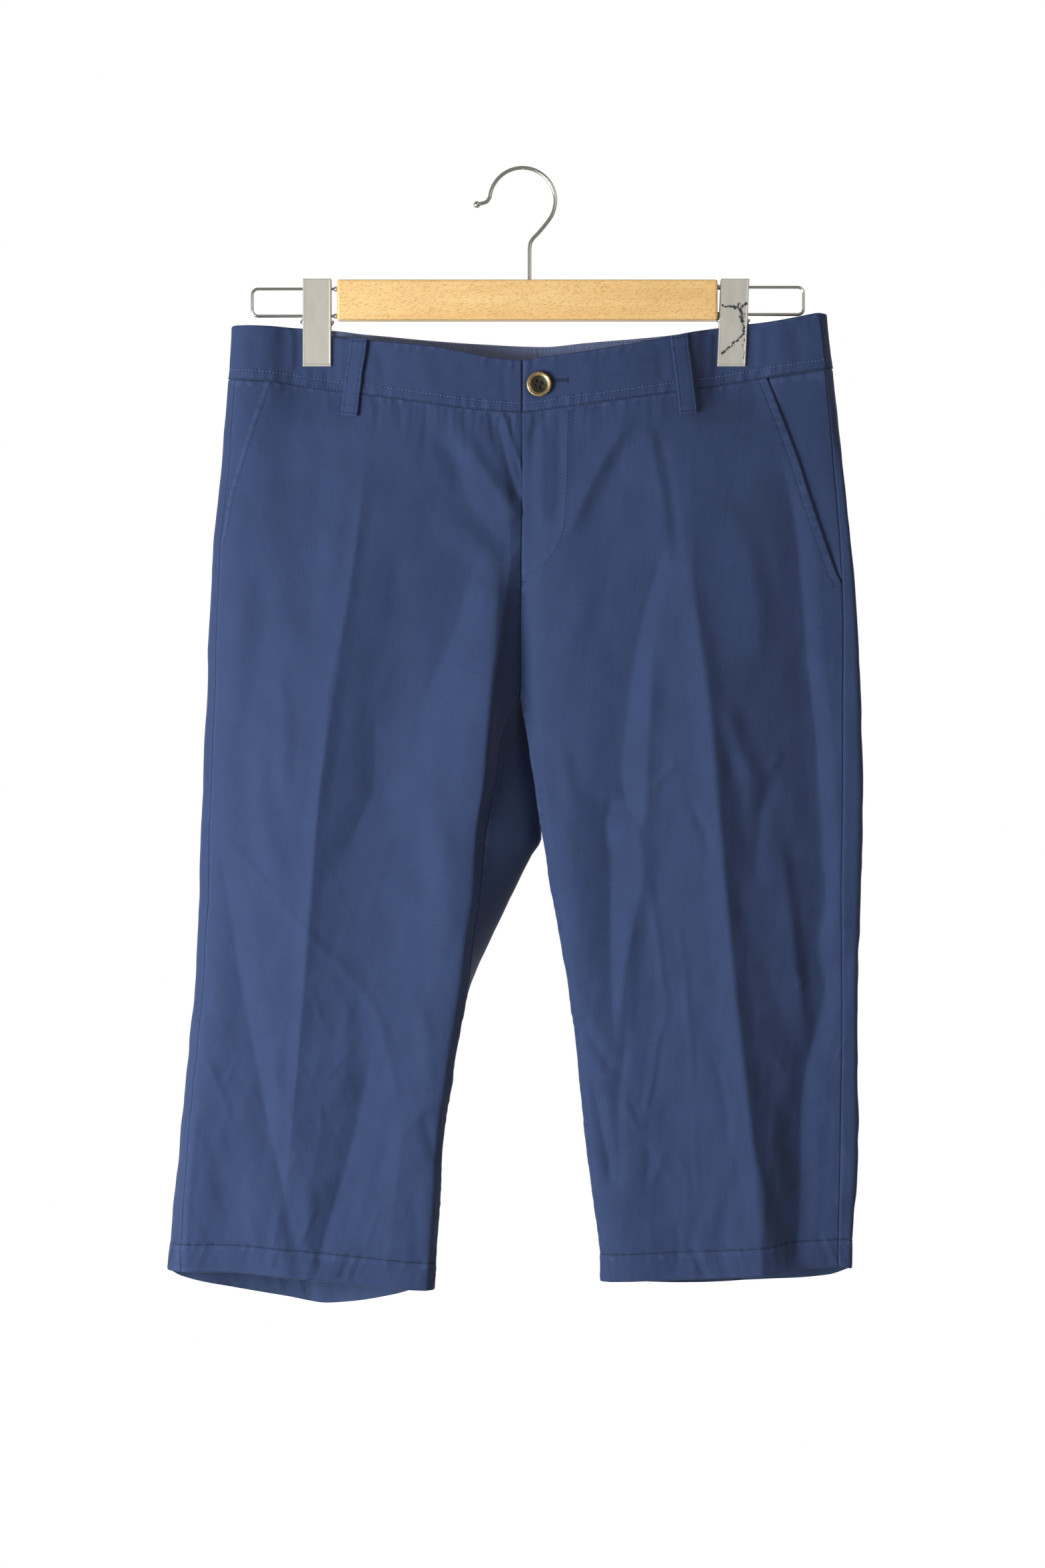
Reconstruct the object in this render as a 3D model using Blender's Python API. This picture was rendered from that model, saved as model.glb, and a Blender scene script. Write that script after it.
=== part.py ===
"""Capri pants hung from a clip hanger, as separate cut pieces and separate hanger parts.

World frame: +Z up, the garment's front faces -Y, the wearer's left is +X.
The origin is the highest point inside the hanger's hook, where a rail carries it.
All sizes below are in millimetres; meshes are made in metres.
"""
import math
from collections import namedtuple

import bmesh
import bpy
import numpy as np

MM = 0.001

# Cloth
CLOTH_WALL = 1.6
BAND_WALL = 2.2
LOOP_WALL = 1.4
SEAM_GAP = 0.3
LAY_GAP = 0.3

# Levels and marks on the garment
CROTCH_HEIGHT = -356.7
CROTCH_NORMAL = (0.0, -0.2, -0.98)
CROTCH_SHARE = 0.42
WAIST_LEVEL = -150.0
HEM_LEVEL = -751.0
POCKET_END = {-1: -255.0, 1: -285.0}
POCKET_UNDERLAP = 8.0
POCKET_SINK = CLOTH_WALL + 0.9
POCKET_FOOT = 20.0
BUTTON_EXTENSION = 36.0
BAND_STEP = 7.0

# Stations round each half, counted from the centre front to the centre back
CENTRE, FOLD, HOLLOW, CREASE, FLANK, SIDE, EDGE = range(7)
BACK_FLANK, BACK_CREASE, BACK_HOLLOW, BACK_FOLD, BACK_CENTRE = range(7, 12)
SHARPNESS = {FOLD: 0.4, CREASE: 1.0, BACK_CREASE: 0.8}

# Hanger
BAR_LEFT, BAR_RIGHT = -126.3, 132.9
BAR_TOP, BAR_BOTTOM = -75.5, -103.0
BAR_DEPTH = 14.0
HOOK_WIRE = 2.8
HOOK_BEND = 21.0
HOOK_TIP = (-28.9, 0.0, -23.2)
HOOK_NECK = ((10.5, 0.0, -43.5), (7.0, 0.0, -47.2), (5.3, 0.0, -50.4), (4.8, 0.0, -54.0))
HOOK_STEM_X = 4.8
BALL_RADIUS = 2.5
BALL_AXIS = (5.5, 0.0, 1.3)
BALL_FLAT = 58.0
LOOP_WIRE = 2.2
LOOP_CORNER = 4.0
LOOP_ENDS = {-1: -185.5, 1: 192.9}
LOOP_HEIGHTS = {-1: (-81.3, -99.8), 1: (-80.1, -98.7)}
WIRE_SOCKET = 14.0
CLIP_X = {-1: -140.1, 1: 145.0}
CLIP_LEAN = {-1: 0.0, 1: 0.044}
CLIP_WIDTH = 19.2
CLIP_TOP, CLIP_BOTTOM = -74.8, -134.5
CLIP_WALL = 1.2
CLIP_RIM = 1.3
CLIP_DISH = 0.55
CLIP_SPRING = 5.2
CLIP_SPRING_GAP = 0.4
PINCH = 1.7
PINCH_REACH = 32.0
PINCH_FOOT = -178.0

Section = namedtuple("Section", "height centre fold hollow crease flank side edge back_flank "
                     "back_crease back_hollow back_fold")

# The centre back seam down to the crotch: (height, (x, y)); below it the cut closes on the inseam
CENTRE_BACK = ((-95, (10.5, 14.5)), (-150, (10.5, 15)), (-205, (11, 17)), (-260, (12.5, 18)),
               (-316, (13, 14)), (-338, (7, 6)), (-356.7, (-1.8, -3)))

# Level cuts through the wearer's right half (X below 0): (x, y) of each station
RIGHT_SECTIONS = (
    Section(-95, (0, -13.5), (-22, -14.5), (-64, -13), (-108, -7.5), (-150, -4.5), (-192, -4.2),
            (-195.8, 0), (-150, 4.5), (-100, 9), (-55, 13), (-15, 14.5)),
    Section(-150, (0, -12), (-20, -12.5), (-62, -13), (-112, -10), (-150, -6), (-196, -4.6),
            (-199.8, 0.3), (-150, 6.5), (-102, 11), (-56, 14), (-14, 15)),
    Section(-205, (0, -9.5), (-12, -10.5), (-60, -13.5), (-114.5, -16.5), (-155, -11),
            (-200, -5.8), (-204.8, 0.5), (-155, 11), (-104, 17), (-58, 17.5), (-14, 17.5)),
    Section(-260, (-0.5, -7.5), (-9, -9.5), (-62, -14), (-119, -21), (-165, -14), (-205.5, -6.3),
            (-210, 0.5), (-160, 15), (-107, 22), (-58, 20), (-12, 18.5)),
    Section(-316, (-1.5, -5.5), (-16, -16), (-68, -16), (-125.5, -25), (-172, -16.5), (-208, -6.6),
            (-213, 0.5), (-165, 18), (-110, 26), (-58, 22), (-10, 18)),
    Section(-356.7, (-1.8, -3), (-20.8, -21), (-75, -17.5), (-130.5, -27), (-176, -17.5),
            (-209, -6.6), (-214, 0.5), (-168, 19), (-112, 28), (-58, 24), (3, 15)),
    Section(-384, (-13.7, -9), (-22, -22.5), (-77, -17.5), (-133, -27.8), (-178, -17.8),
            (-210, -6.6), (-215.3, 0.5), (-170, 19.5), (-114, 29), (-58, 25), (7, 14)),
    Section(-421, (-19.7, -12), (-23.6, -24), (-80, -17.5), (-137, -28.5), (-181, -18),
            (-211.5, -6.8), (-217, 0.5), (-172, 20), (-116, 30), (-60, 25), (11, 13)),
    Section(-456, (-25.5, -14), (-27.5, -24.5), (-83, -17.5), (-140, -29), (-183, -18.2),
            (-213, -7), (-218.6, 0.5), (-174, 20.5), (-119, 30.5), (-64, 25.5), (12, 12)),
    Section(-494, (-29.3, -15), (-32, -24), (-86, -18), (-142.5, -29), (-184, -18.5),
            (-213.6, -7), (-219.2, 0.5), (-176, 21), (-122, 31), (-70, 26), (-7.8, 10.5)),
    Section(-530, (-34.5, -13), (-39, -22), (-90, -19), (-145.5, -29), (-186, -18.8), (-215.5, -7.4),
            (-221.4, 0.5), (-179, 21.5), (-127, 31), (-78, 26), (-24.5, 9)),
    Section(-567, (-39.6, -8), (-47, -18.5), (-96, -20), (-148.5, -29), (-188, -19), (-217.8, -8),
            (-224, 0.5), (-182, 22), (-132, 31), (-86, 26), (-44, 8.5)),
    Section(-658, (-53.6, -4), (-62, -13.5), (-105, -20), (-156.5, -28), (-196, -19), (-226, -7.5),
            (-232.6, 0.5), (-190, 21), (-138, 31), (-96, 25.5), (-59, 9.5)),
    Section(-751, (-59.6, -4), (-68, -12.5), (-110, -19.5), (-163, -25), (-203, -17), (-231.5, -8),
            (-241.4, 0.5), (-200, 19.5), (-145, 30.5), (-100, 24.5), (-65, 10)),
    Section(-790, (-62, -4), (-70, -12), (-112, -19), (-165, -24), (-205, -16), (-233, -8),
            (-243.6, 0.5), (-203, 19), (-147, 30), (-102, 24), (-67, 10)),
)

# The same for the wearer's left half (X above 0)
LEFT_SECTIONS = (
    Section(-95, (0, -13.5), (24, -14.5), (66, -13), (106, -8), (155, -4.5), (201.5, -4.5),
            (205.3, 0), (155, 4.5), (110, 9), (70, 13), (36, 14.5)),
    Section(-150, (0, -12), (24, -13), (66, -13.5), (112, -10.5), (160, -6.5), (207.8, -5),
            (211.8, 0.5), (158, 6.5), (114, 11), (72, 14), (37, 15)),
    Section(-205, (0, -9.5), (26, -12), (68, -15), (114.5, -17), (170, -10), (212, -7),
            (218, 0.5), (165, 11), (117, 17), (75, 17.5), (38, 17.5)),
    Section(-260, (-0.5, -7.5), (24, -11.5), (66, -16), (115, -22), (178, -12), (216.2, -9),
            (223.6, 0.5), (170, 15), (119, 22), (76, 20), (38, 18.5)),
    Section(-316, (-1.5, -5.5), (18, -11), (64, -18), (119, -26), (186, -13), (218, -11),
            (228, 0.5), (174, 18), (121, 26), (78, 22), (36, 18.5)),
    Section(-356.7, (-1.8, -3), (14, -12.5), (64, -19.5), (124, -28), (194, -13.5), (217.7, -12),
            (229.8, 0.5), (178, 19), (124, 28), (80, 24), (28, 18.5)),
    Section(-384, (2.8, -9), (16, -15), (66, -20.5), (127, -29), (198, -13.5), (217.6, -12.4),
            (230.8, 0.5), (180, 19.5), (127, 29), (81, 25), (26, 18)),
    Section(-421, (8.3, -12), (20, -18), (70, -21.5), (130.5, -29.5), (202, -13.5), (217.5, -12.6),
            (231.6, 0.5), (182, 20), (130, 30), (84, 26), (27, 17.5)),
    Section(-494, (20, -12), (31, -18.5), (78, -21.5), (137, -29.5), (206, -13.5), (216.5, -12.5),
            (230.2, 0.5), (184, 21), (136, 31), (90, 26), (34, 16)),
    Section(-567, (33.2, -9), (44, -16.5), (90, -21), (144.5, -29), (206, -13.5), (217, -12),
            (227.6, 0.5), (186, 21), (142, 31), (98, 26), (42, 14)),
    Section(-658, (43.4, -6), (53, -13.5), (100, -20), (155, -28), (203, -16), (216, -11),
            (228.3, 0.5), (188, 20), (148, 30), (106, 25), (50, 12)),
    Section(-751, (53.6, -6), (63, -13), (108, -19), (162, -27), (200, -15), (214.5, -8),
            (224, 0.5), (190, 18), (153, 28), (112, 24), (60, 12)),
    Section(-790, (55, -6), (65, -13), (110, -18.5), (163, -26), (201, -14), (215, -8),
            (224, 0.5), (191, 17.5), (154, 27.5), (113, 23.5), (62, 12)),
)

# Lines that run round the garment: (x, height) pairs from the right side to the left side
BAND_TOP_FRONT = ((-197, -106.7), (-150, -108.7), (-130, -113.8), (-104, -117), (-63, -121.2),
                  (0, -131.1), (12, -129.3), (41, -125.4), (72, -120.3), (100, -115.3),
                  (134, -108.9), (155, -106), (174, -104), (206, -98.3))
BAND_TOP_BACK = ((-197, -106.7), (-150, -108.5), (-104, -112), (-63, -115.4), (-29, -117.6),
                 (15, -119.4), (44, -116.7), (98, -112.5), (134, -108.5), (174, -104), (206, -98.3))
WAIST_SEAM_FRONT = ((-200, -142.9), (-175, -144.7), (-122, -152), (-103, -154.6), (0, -166.3),
                    (30.5, -162.6), (77, -156.4), (122, -149.8), (166.5, -142.2), (212, -135.6))
WAIST_SEAM_BACK = ((-200, -142.9), (-150, -145), (-104, -148), (0, -155), (15, -155.4),
                   (71, -150), (120, -145.5), (166, -141), (212, -135.6))
HEM_FRONT = ((-242, -750), (-222, -749.8), (-200, -750), (-152, -754), (-110, -758),
             (-60, -762.2), (53.6, -757.3), (110, -754.8), (163, -751.5), (186, -748.6),
             (208, -747.4), (219, -746.9), (225, -749))
HEM_BACK = ((-242, -750), (-234, -755.3), (-197.5, -764.7), (-161, -772), (-134, -776.7),
            (-115.6, -775.3), (-88, -770), (-60, -762.2), (53.6, -757.3), (80, -761),
            (120, -762), (170, -759.5), (210, -755), (225, -749))

# Slanted pocket edges: (height, x) pairs from the waist seam down
POCKET_EDGE = {
    -1: ((-144.7, -174.7), (-168.8, -183.4), (-197.5, -192.6), (-224.8, -200), (-255, -204.6)),
    1: ((-142, 166.5), (-156.1, 171.8), (-197.5, 187), (-231, 197.8), (-269.7, 211.1), (-285, 216.8)),
}

# Long folds raised (+) or sunk (-) in the cloth: a line from (x0, z0) to (x1, z1), bowed sideways
Fold = namedtuple("Fold", "x0 z0 x1 z1 bow depth spread_left spread_right sharp")
FRONT_FOLDS = (
    Fold(78, -158, 15, -268, 6, 2.6, 20, 20, 0.5),
    Fold(76, -170, 40, -255, 5, -2.2, 18, 18, 0.4),
    Fold(80, -160, 92, -240, 0, -1.6, 14, 20, 0.4),
    Fold(-35, -170, -4, -258, 8, -2.2, 18, 14, 0.3),
    Fold(-18, -176, -2, -225, 4, 2.0, 14, 10, 0.4),
    Fold(98, -275, 66, -560, -4, 2.2, 26, 22, 0.5),
    Fold(192, -280, 206, -510, -4, -2.4, 26, 14, 0.6),
    Fold(-192, -540, -152, -760, 2, 2.4, 24, 30, 0.5),
    Fold(-196, -450, -98, -640, -4, 1.8, 22, 22, 0.4),
    Fold(-108, -590, -136, -745, 0, -2.4, 24, 26, 0.3),
)
BACK_FOLDS = (
    Fold(-60, -180, 0, -300, -6, -2.2, 22, 20, 0.3),
    Fold(80, -180, 24, -300, 6, -2.0, 22, 22, 0.3),
    Fold(-190, -420, -110, -640, 6, 2.0, 24, 28, 0.4),
    Fold(195, -430, 120, -650, -6, 2.2, 26, 24, 0.4),
    Fold(-90, -560, -130, -745, 0, -2.2, 26, 26, 0.3),
    Fold(70, -420, 100, -660, 4, -2.0, 24, 24, 0.3),
)

# Belt loops: x at the top and at the bottom, bottom height, and which layer carries them
BeltLoop = namedtuple("BeltLoop", "name top_x bottom_x bottom front")
BELT_LOOPS = (
    BeltLoop("belt_loop_front_right", -110.3, -117.2, -169.0, True),
    BeltLoop("belt_loop_front_left", 106.0, 112.5, -167.8, True),
    BeltLoop("belt_loop_back_right", -96.0, -98.0, -166.0, False),
    BeltLoop("belt_loop_back_left", 118.0, 119.5, -164.0, False),
    BeltLoop("belt_loop_back_centre", 10.8, 10.8, -171.0, False),
)
LOOP_WIDTH = 12.0
LOOP_RISE = 1.0
LOOP_SEAT = 0.45
BUTTON_X, BUTTON_HEIGHT = 11.4, -147.8
BUTTON_WIDTH, BUTTON_THICK = 17.0, 3.4

# Colours are linear red, green, blue; then roughness and metallic
FINISHES = {
    "navy_cotton": ((0.058, 0.088, 0.190), 0.75, 0.0),
    "horn_button": ((0.045, 0.032, 0.022), 0.35, 0.0),
    "beech_wood": ((0.80, 0.55, 0.26), 0.5, 0.0),
    "steel_wire": ((0.62, 0.62, 0.60), 0.25, 1.0),
    "nickel_clip": ((0.70, 0.69, 0.66), 0.2, 1.0),
}


# ---------------------------------------------------------------- surface of the garment

def eased_slopes(x, y):
    """Slopes of a curve through the rows of y that never overshoots them."""
    span = np.diff(x).reshape((-1,) + (1,) * (y.ndim - 1))
    rise = np.diff(y, axis=0) / span
    slopes = np.zeros_like(y)
    before, after = rise[:-1], rise[1:]
    same_way = before * after > 0
    weight_a, weight_b = 2 * span[1:] + span[:-1], span[1:] + 2 * span[:-1]
    safe_before = np.where(same_way, before, 1.0)
    safe_after = np.where(same_way, after, 1.0)
    mean = (weight_a + weight_b) / (weight_a / safe_before + weight_b / safe_after)
    slopes[1:-1] = np.where(same_way, mean, 0.0)
    slopes[0], slopes[-1] = rise[0], rise[-1]
    return slopes


def hermite(start, end, start_slope, end_slope, t):
    """Cubic between two values, with its slopes already scaled by the step."""
    return (start * (2 * t ** 3 - 3 * t ** 2 + 1) + start_slope * (t ** 3 - 2 * t ** 2 + t)
            + end * (3 * t ** 2 - 2 * t ** 3) + end_slope * (t ** 3 - t ** 2))


def follow(x, y, at):
    """Smooth value at `at` of the table y over the rising values x."""
    x, y, at = np.asarray(x, float), np.asarray(y, float), np.asarray(at, float)
    slopes = eased_slopes(x, y)
    row = np.clip(np.searchsorted(x, at) - 1, 0, len(x) - 2)
    step = x[row + 1] - x[row]
    t = np.clip((at - x[row]) / step, 0.0, 1.0)
    shape = at.shape + (1,) * (y.ndim - 1)
    t, step = t.reshape(shape), step.reshape(shape)
    return hermite(y[row], y[row + 1], slopes[row] * step, slopes[row + 1] * step, t)


def smooth_step(low, high, value):
    t = np.clip((value - low) / (high - low), 0.0, 1.0)
    return t * t * (3 - 2 * t)


def line_table(rows):
    """Drops below the origin, rising, and the (x, y) places of a line down the garment."""
    return np.array([-height for height, _ in rows], float), np.array([place for _, place in rows], float)


def section_table(sections):
    drops = np.array([-section.height for section in sections], float)
    stations = np.array([section[1:] for section in sections], float)
    places = [(section.height, section.centre) for section in sections]
    centre_front = line_table([row for row in places if row[0] >= CROTCH_HEIGHT])
    inseam = line_table([row for row in places if row[0] <= CROTCH_HEIGHT])
    return drops, stations, centre_front, inseam


SECTION_TABLES = {-1: section_table(RIGHT_SECTIONS), 1: section_table(LEFT_SECTIONS)}


def stations_at(half, z):
    """(x, y) of all twelve stations at each height; the first and last meet below the crotch."""
    drops, stations, centre_front, inseam = SECTION_TABLES[half]
    points = follow(drops, stations, -z)
    whole = (z >= CROTCH_HEIGHT)[:, None]
    below = follow(*inseam, -z)
    front = np.where(whole, follow(*centre_front, -z), below)
    back = np.where(whole, follow(*line_table(CENTRE_BACK), -z), below)
    return np.concatenate([front[:, None], points[:, 1:], back[:, None]], axis=1)


def ring(half, u, z):
    """(x, y) of the smooth level cut through a half at station u (0 to 11) and height z."""
    points = stations_at(half, z)
    chords = np.diff(points, axis=1)
    lengths = np.linalg.norm(chords, axis=2, keepdims=True)
    directions = chords / lengths
    middle = ((lengths[:, :-1] * directions[:, 1:] + lengths[:, 1:] * directions[:, :-1])
              / (lengths[:, :-1] + lengths[:, 1:]))
    first = 1.5 * directions[:, :1] - 0.5 * middle[:, :1]
    last = 1.5 * directions[:, -1:] - 0.5 * middle[:, -1:]
    arriving = np.concatenate([first, middle, last], axis=1)
    leaving = arriving.copy()
    for station, sharp in SHARPNESS.items():
        arriving[:, station] += sharp * (directions[:, station - 1] - arriving[:, station])
        leaving[:, station] += sharp * (directions[:, station] - leaving[:, station])
    segment = np.clip(np.floor(u).astype(int), 0, BACK_CENTRE - 1)
    each = np.arange(len(u))
    t = (u - segment)[:, None]
    length = lengths[each, segment]
    return hermite(points[each, segment], points[each, segment + 1],
                   leaving[each, segment] * length, arriving[each, segment + 1] * length, t)


def fold_height(folds, x, z):
    """How far the listed folds lift the cloth at (x, z)."""
    lift = np.zeros_like(x)
    for fold in folds:
        along = np.array([fold.x1 - fold.x0, fold.z1 - fold.z0], float)
        length = np.linalg.norm(along)
        along /= length
        share = ((x - fold.x0) * along[0] + (z - fold.z0) * along[1]) / length
        across = (x - fold.x0) * -along[1] + (z - fold.z0) * along[0]
        inside = np.clip(share, 0.0, 1.0)
        across = across - fold.bow * np.sin(math.pi * inside)
        spread = np.where(across > 0, fold.spread_right, fold.spread_left)
        away = np.clip(np.abs(across) / spread, 0.0, 1.0)
        rounded = np.cos(away * math.pi / 2) ** 2
        edged = (1 - away) ** 2
        ends = smooth_step(-0.08, 0.3, share) * (1 - smooth_step(0.7, 1.08, share))
        lift += fold.depth * ends * (fold.sharp * edged + (1 - fold.sharp) * rounded)
    return lift


def pinched(x, y, z, outward):
    """The two layers pressed together between the jaws of the clips."""
    for centre in CLIP_X.values():
        share = ((1 - smooth_step(CLIP_WIDTH / 2 + 2.4, PINCH_REACH, np.abs(x - centre)))
                 * smooth_step(PINCH_FOOT, CLIP_BOTTOM - 3.0, z))
        y = y + share * (outward * PINCH - y)
    return y


def within(half, u, z):
    """A point of the half's own cloth, for u from 0 to 11."""
    flat = ring(half, u, z)
    x, y = flat[:, 0], flat[:, 1]
    front = u <= EDGE
    outward = np.where(front, -1.0, 1.0)
    fade = np.where(front, 1 - smooth_step(4.6, 5.6, u), smooth_step(6.4, 7.0, u))
    fade = fade * smooth_step(0.0, 0.5, u) * (1 - smooth_step(10.5, 11.0, u))
    lift = np.where(front, fold_height(FRONT_FOLDS, x, z), fold_height(BACK_FOLDS, x, z))
    y = pinched(x, y + outward * lift * fade, z, outward)
    return np.stack([x, y, z], axis=1)


def cloth(half, u, z):
    """A point of the garment; u below 0 or above 11 goes on over the seam into the next piece."""
    u, z = np.broadcast_arrays(np.asarray(u, float), np.asarray(z, float))
    shape = u.shape
    u, z = u.ravel(), z.ravel()
    before, after = u < 0, u > BACK_CENTRE
    split = z < CROTCH_HEIGHT
    own = np.where(before & split, BACK_CENTRE + u, np.where(after & split, u - BACK_CENTRE, u))
    across = np.where(before, -u, np.where(after, 2 * BACK_CENTRE - u, u))
    swap = (before | after) & ~split
    points = np.where(swap[:, None], within(-half, np.where(swap, across, 1.0), z),
                      within(half, np.where(swap, 1.0, own), z))
    return points.reshape(shape + (3,))


def cloth_normal(half, u, z):
    """The outward direction, shared by the pieces on both sides of every seam."""
    u, z = np.broadcast_arrays(np.asarray(u, float), np.asarray(z, float))
    step_u, step_z = 0.12, 3.0
    on_seam = (u < 1e-6) | (u > BACK_CENTRE - 1e-6)
    near_crotch = np.abs(z - CROTCH_HEIGHT) < step_z
    z_up = np.where(on_seam & near_crotch & (z <= CROTCH_HEIGHT), z, z + step_z)
    z_down = np.where(on_seam & near_crotch & (z > CROTCH_HEIGHT), z, z - step_z)
    around = cloth(half, u + step_u, z) - cloth(half, u - step_u, z)
    down = cloth(half, u, z_down) - cloth(half, u, z_up)
    normal = -half * np.cross(around, down)
    normal /= np.linalg.norm(normal, axis=-1, keepdims=True)
    at_crotch = on_seam & (np.abs(z - CROTCH_HEIGHT) < 0.5)
    return np.where(at_crotch[..., None], np.array(CROTCH_NORMAL), normal)


def line_height(front_line, back_line, x, front):
    """Height of a girth line at x, on the front or on the back layer."""
    heights = [follow([p[0] for p in line], [p[1] for p in line], x)
               for line in (front_line, back_line)]
    return np.where(front, heights[0], heights[1])


def station_x(half, u, z):
    u = np.asarray(u, float)
    return ring(half, u.ravel(), np.full(u.size, float(z)))[:, 0].reshape(u.shape)


def body_height(half, u, v):
    """Height at station u; v is 0 on the waist seam, CROTCH_SHARE at the crotch, 1 on the hem."""
    front = u <= EDGE
    seam = line_height(WAIST_SEAM_FRONT, WAIST_SEAM_BACK, station_x(half, u, WAIST_LEVEL), front)
    hem = line_height(HEM_FRONT, HEM_BACK, station_x(half, u, HEM_LEVEL), front)
    upper = seam + (CROTCH_HEIGHT - seam) * v / CROTCH_SHARE
    lower = CROTCH_HEIGHT + (hem - CROTCH_HEIGHT) * (v - CROTCH_SHARE) / (1 - CROTCH_SHARE)
    return np.where(v <= CROTCH_SHARE, upper, lower)


def band_height(half, u, v):
    """Height in the waistband; v is 0 on its top edge, 1 on the waist seam."""
    x = station_x(half, u, WAIST_LEVEL)
    front = u <= EDGE
    top = line_height(BAND_TOP_FRONT, BAND_TOP_BACK, x, front)
    seam = line_height(WAIST_SEAM_FRONT, WAIST_SEAM_BACK, x, front)
    return top + (seam - top) * v


def station_at(half, x, z, front=True):
    """The station u whose cloth lies at x, on the front or on the back layer."""
    x, z = np.broadcast_arrays(np.asarray(x, float), np.asarray(z, float))
    samples = np.linspace(0.0, EDGE, 121) if front else np.linspace(EDGE, BACK_CENTRE, 121)
    found = np.empty(x.size)
    for index, (wanted, height) in enumerate(zip(x.ravel(), z.ravel())):
        reach = half * ring(half, samples, np.full(samples.size, height))[:, 0]
        order = np.argsort(reach)
        found[index] = np.interp(half * wanted, reach[order], samples[order])
    return found.reshape(x.shape)


# ---------------------------------------------------------------- meshes

def material(name):
    """A Principled BSDF of the named finish, made once."""
    found = bpy.data.materials.get(name)
    if found:
        return found
    colour, roughness, metallic = FINISHES[name]
    made = bpy.data.materials.new(name)
    made.use_nodes = True
    shader = made.node_tree.nodes["Principled BSDF"]
    shader.inputs["Base Color"].default_value = (*colour, 1.0)
    shader.inputs["Roughness"].default_value = roughness
    shader.inputs["Metallic"].default_value = metallic
    made.diffuse_color = (*colour, 1.0)
    return made


def finish_mesh(name, shape, finish, sharp_angle=50):
    """Turns a bmesh in millimetres into a named, smooth-shaded object in metres."""
    shape.normal_update()
    bmesh.ops.recalc_face_normals(shape, faces=shape.faces)
    if shape.calc_volume(signed=True) < 0:
        bmesh.ops.reverse_faces(shape, faces=shape.faces)
    bmesh.ops.scale(shape, vec=(MM, MM, MM), verts=shape.verts)
    mesh = bpy.data.meshes.new(name)
    shape.to_mesh(mesh)
    shape.free()
    mesh.materials.append(material(finish))
    mesh.shade_smooth()
    mesh.set_sharp_from_angle(angle=math.radians(sharp_angle))
    placed = bpy.data.objects.new(name, mesh)
    bpy.context.scene.collection.objects.link(placed)
    return placed


def sheet_wall(name, outer, inner, finish):
    """A closed wall between two grids of points with the same rows and columns."""
    rows, columns = outer.shape[:2]
    shape = bmesh.new()
    skins = [[[shape.verts.new(skin[r, c]) for c in range(columns)] for r in range(rows)]
             for skin in (outer, inner)]
    for skin in skins:
        for r in range(rows - 1):
            for c in range(columns - 1):
                shape.faces.new((skin[r][c], skin[r][c + 1], skin[r + 1][c + 1], skin[r + 1][c]))
    rim = ([(0, c) for c in range(columns - 1)] + [(r, columns - 1) for r in range(rows - 1)]
           + [(rows - 1, c) for c in range(columns - 1, 0, -1)]
           + [(r, 0) for r in range(rows - 1, 0, -1)])
    for here, there in zip(rim, rim[1:] + rim[:1]):
        top, bottom = skins
        shape.faces.new((top[here[0]][here[1]], bottom[here[0]][here[1]],
                         bottom[there[0]][there[1]], top[there[0]][there[1]]))
    return finish_mesh(name, shape, finish)


def trimmed(points):
    """The grid with its four borders drawn in by half a seam gap."""
    points = points.copy()
    for grid in (points, points.transpose(1, 0, 2)):
        for border, inside in ((0, 1), (-1, -2)):
            step = grid[inside] - grid[border]
            length = np.linalg.norm(step, axis=-1, keepdims=True)
            grid[border] += step / length * SEAM_GAP / 2
    return points


def cloth_piece(name, half, u, z, wall, inset=0.0):
    """A cut piece over the stations u and heights z (grids of one shape)."""
    points = trimmed(cloth(half, u, z))
    normals = cloth_normal(half, u, z)
    outer = points + normals * (wall / 2 - np.asarray(inset)[..., None])
    inner = points - normals * (wall / 2 + np.asarray(inset)[..., None])
    return sheet_wall(name, outer, inner, "navy_cotton")


def spaced(stops, counts):
    """Station values with an even number of steps between each pair of stops."""
    parts = [np.linspace(low, high, count, endpoint=False)
             for low, high, count in zip(stops[:-1], stops[1:], counts)]
    return np.concatenate(parts + [stops[-1:]])


BODY_ROWS = np.concatenate([np.linspace(0.0, CROTCH_SHARE, 10)[:-1], np.linspace(CROTCH_SHARE, 1.0, 15)])
FRONT_STATIONS = spaced([0, 1, 2, 3, 4, 4.6, 5], [2, 4, 4, 4, 3, 2])
BACK_STATIONS = spaced([5, 6, 6.12, 6.4, 7, 8, 9, 10, 11], [2, 2, 2, 2, 3, 3, 3, 3])


def band_stations(half, front):
    """Stations of a waistband length, with extra ones where the clip flattens it."""
    near_clip = CLIP_X[half] + np.array([-20.0, -11.0, 11.0, 20.0])
    extra = station_at(half, near_clip, np.full(4, WAIST_LEVEL), front)
    plain = FRONT_STATIONS if front else BACK_STATIONS
    kept = [u for u in plain if min(abs(u - extra)) > 0.12 or u in (SIDE, BACK_CENTRE, CENTRE)]
    return np.sort(np.concatenate([kept, extra]))


def pocket_station(half, z):
    """Station of the slanted pocket edge at heights z; the side seam below the pocket."""
    drops = [-p[0] for p in POCKET_EDGE[half]]
    x = follow(drops, [p[1] for p in POCKET_EDGE[half]], -z)
    found = station_at(half, x, z)
    low = POCKET_END[half]
    share = smooth_step(low, low + 8.0, z)
    return np.minimum(SIDE + share * (found - SIDE), SIDE)


def front_panel(name, half):
    v, u = np.meshgrid(BODY_ROWS, FRONT_STATIONS, indexing="ij")
    z = body_height(half, u, v)
    for _ in range(2):
        end = np.repeat(pocket_station(half, z[:, -1])[:, None], u.shape[1], axis=1)
        slid = np.where(u > CREASE, CREASE + (u - CREASE) * (end - CREASE) / (SIDE - CREASE), u)
        z = body_height(half, slid, v)
    return cloth_piece(name, half, slid, z, CLOTH_WALL)


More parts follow.
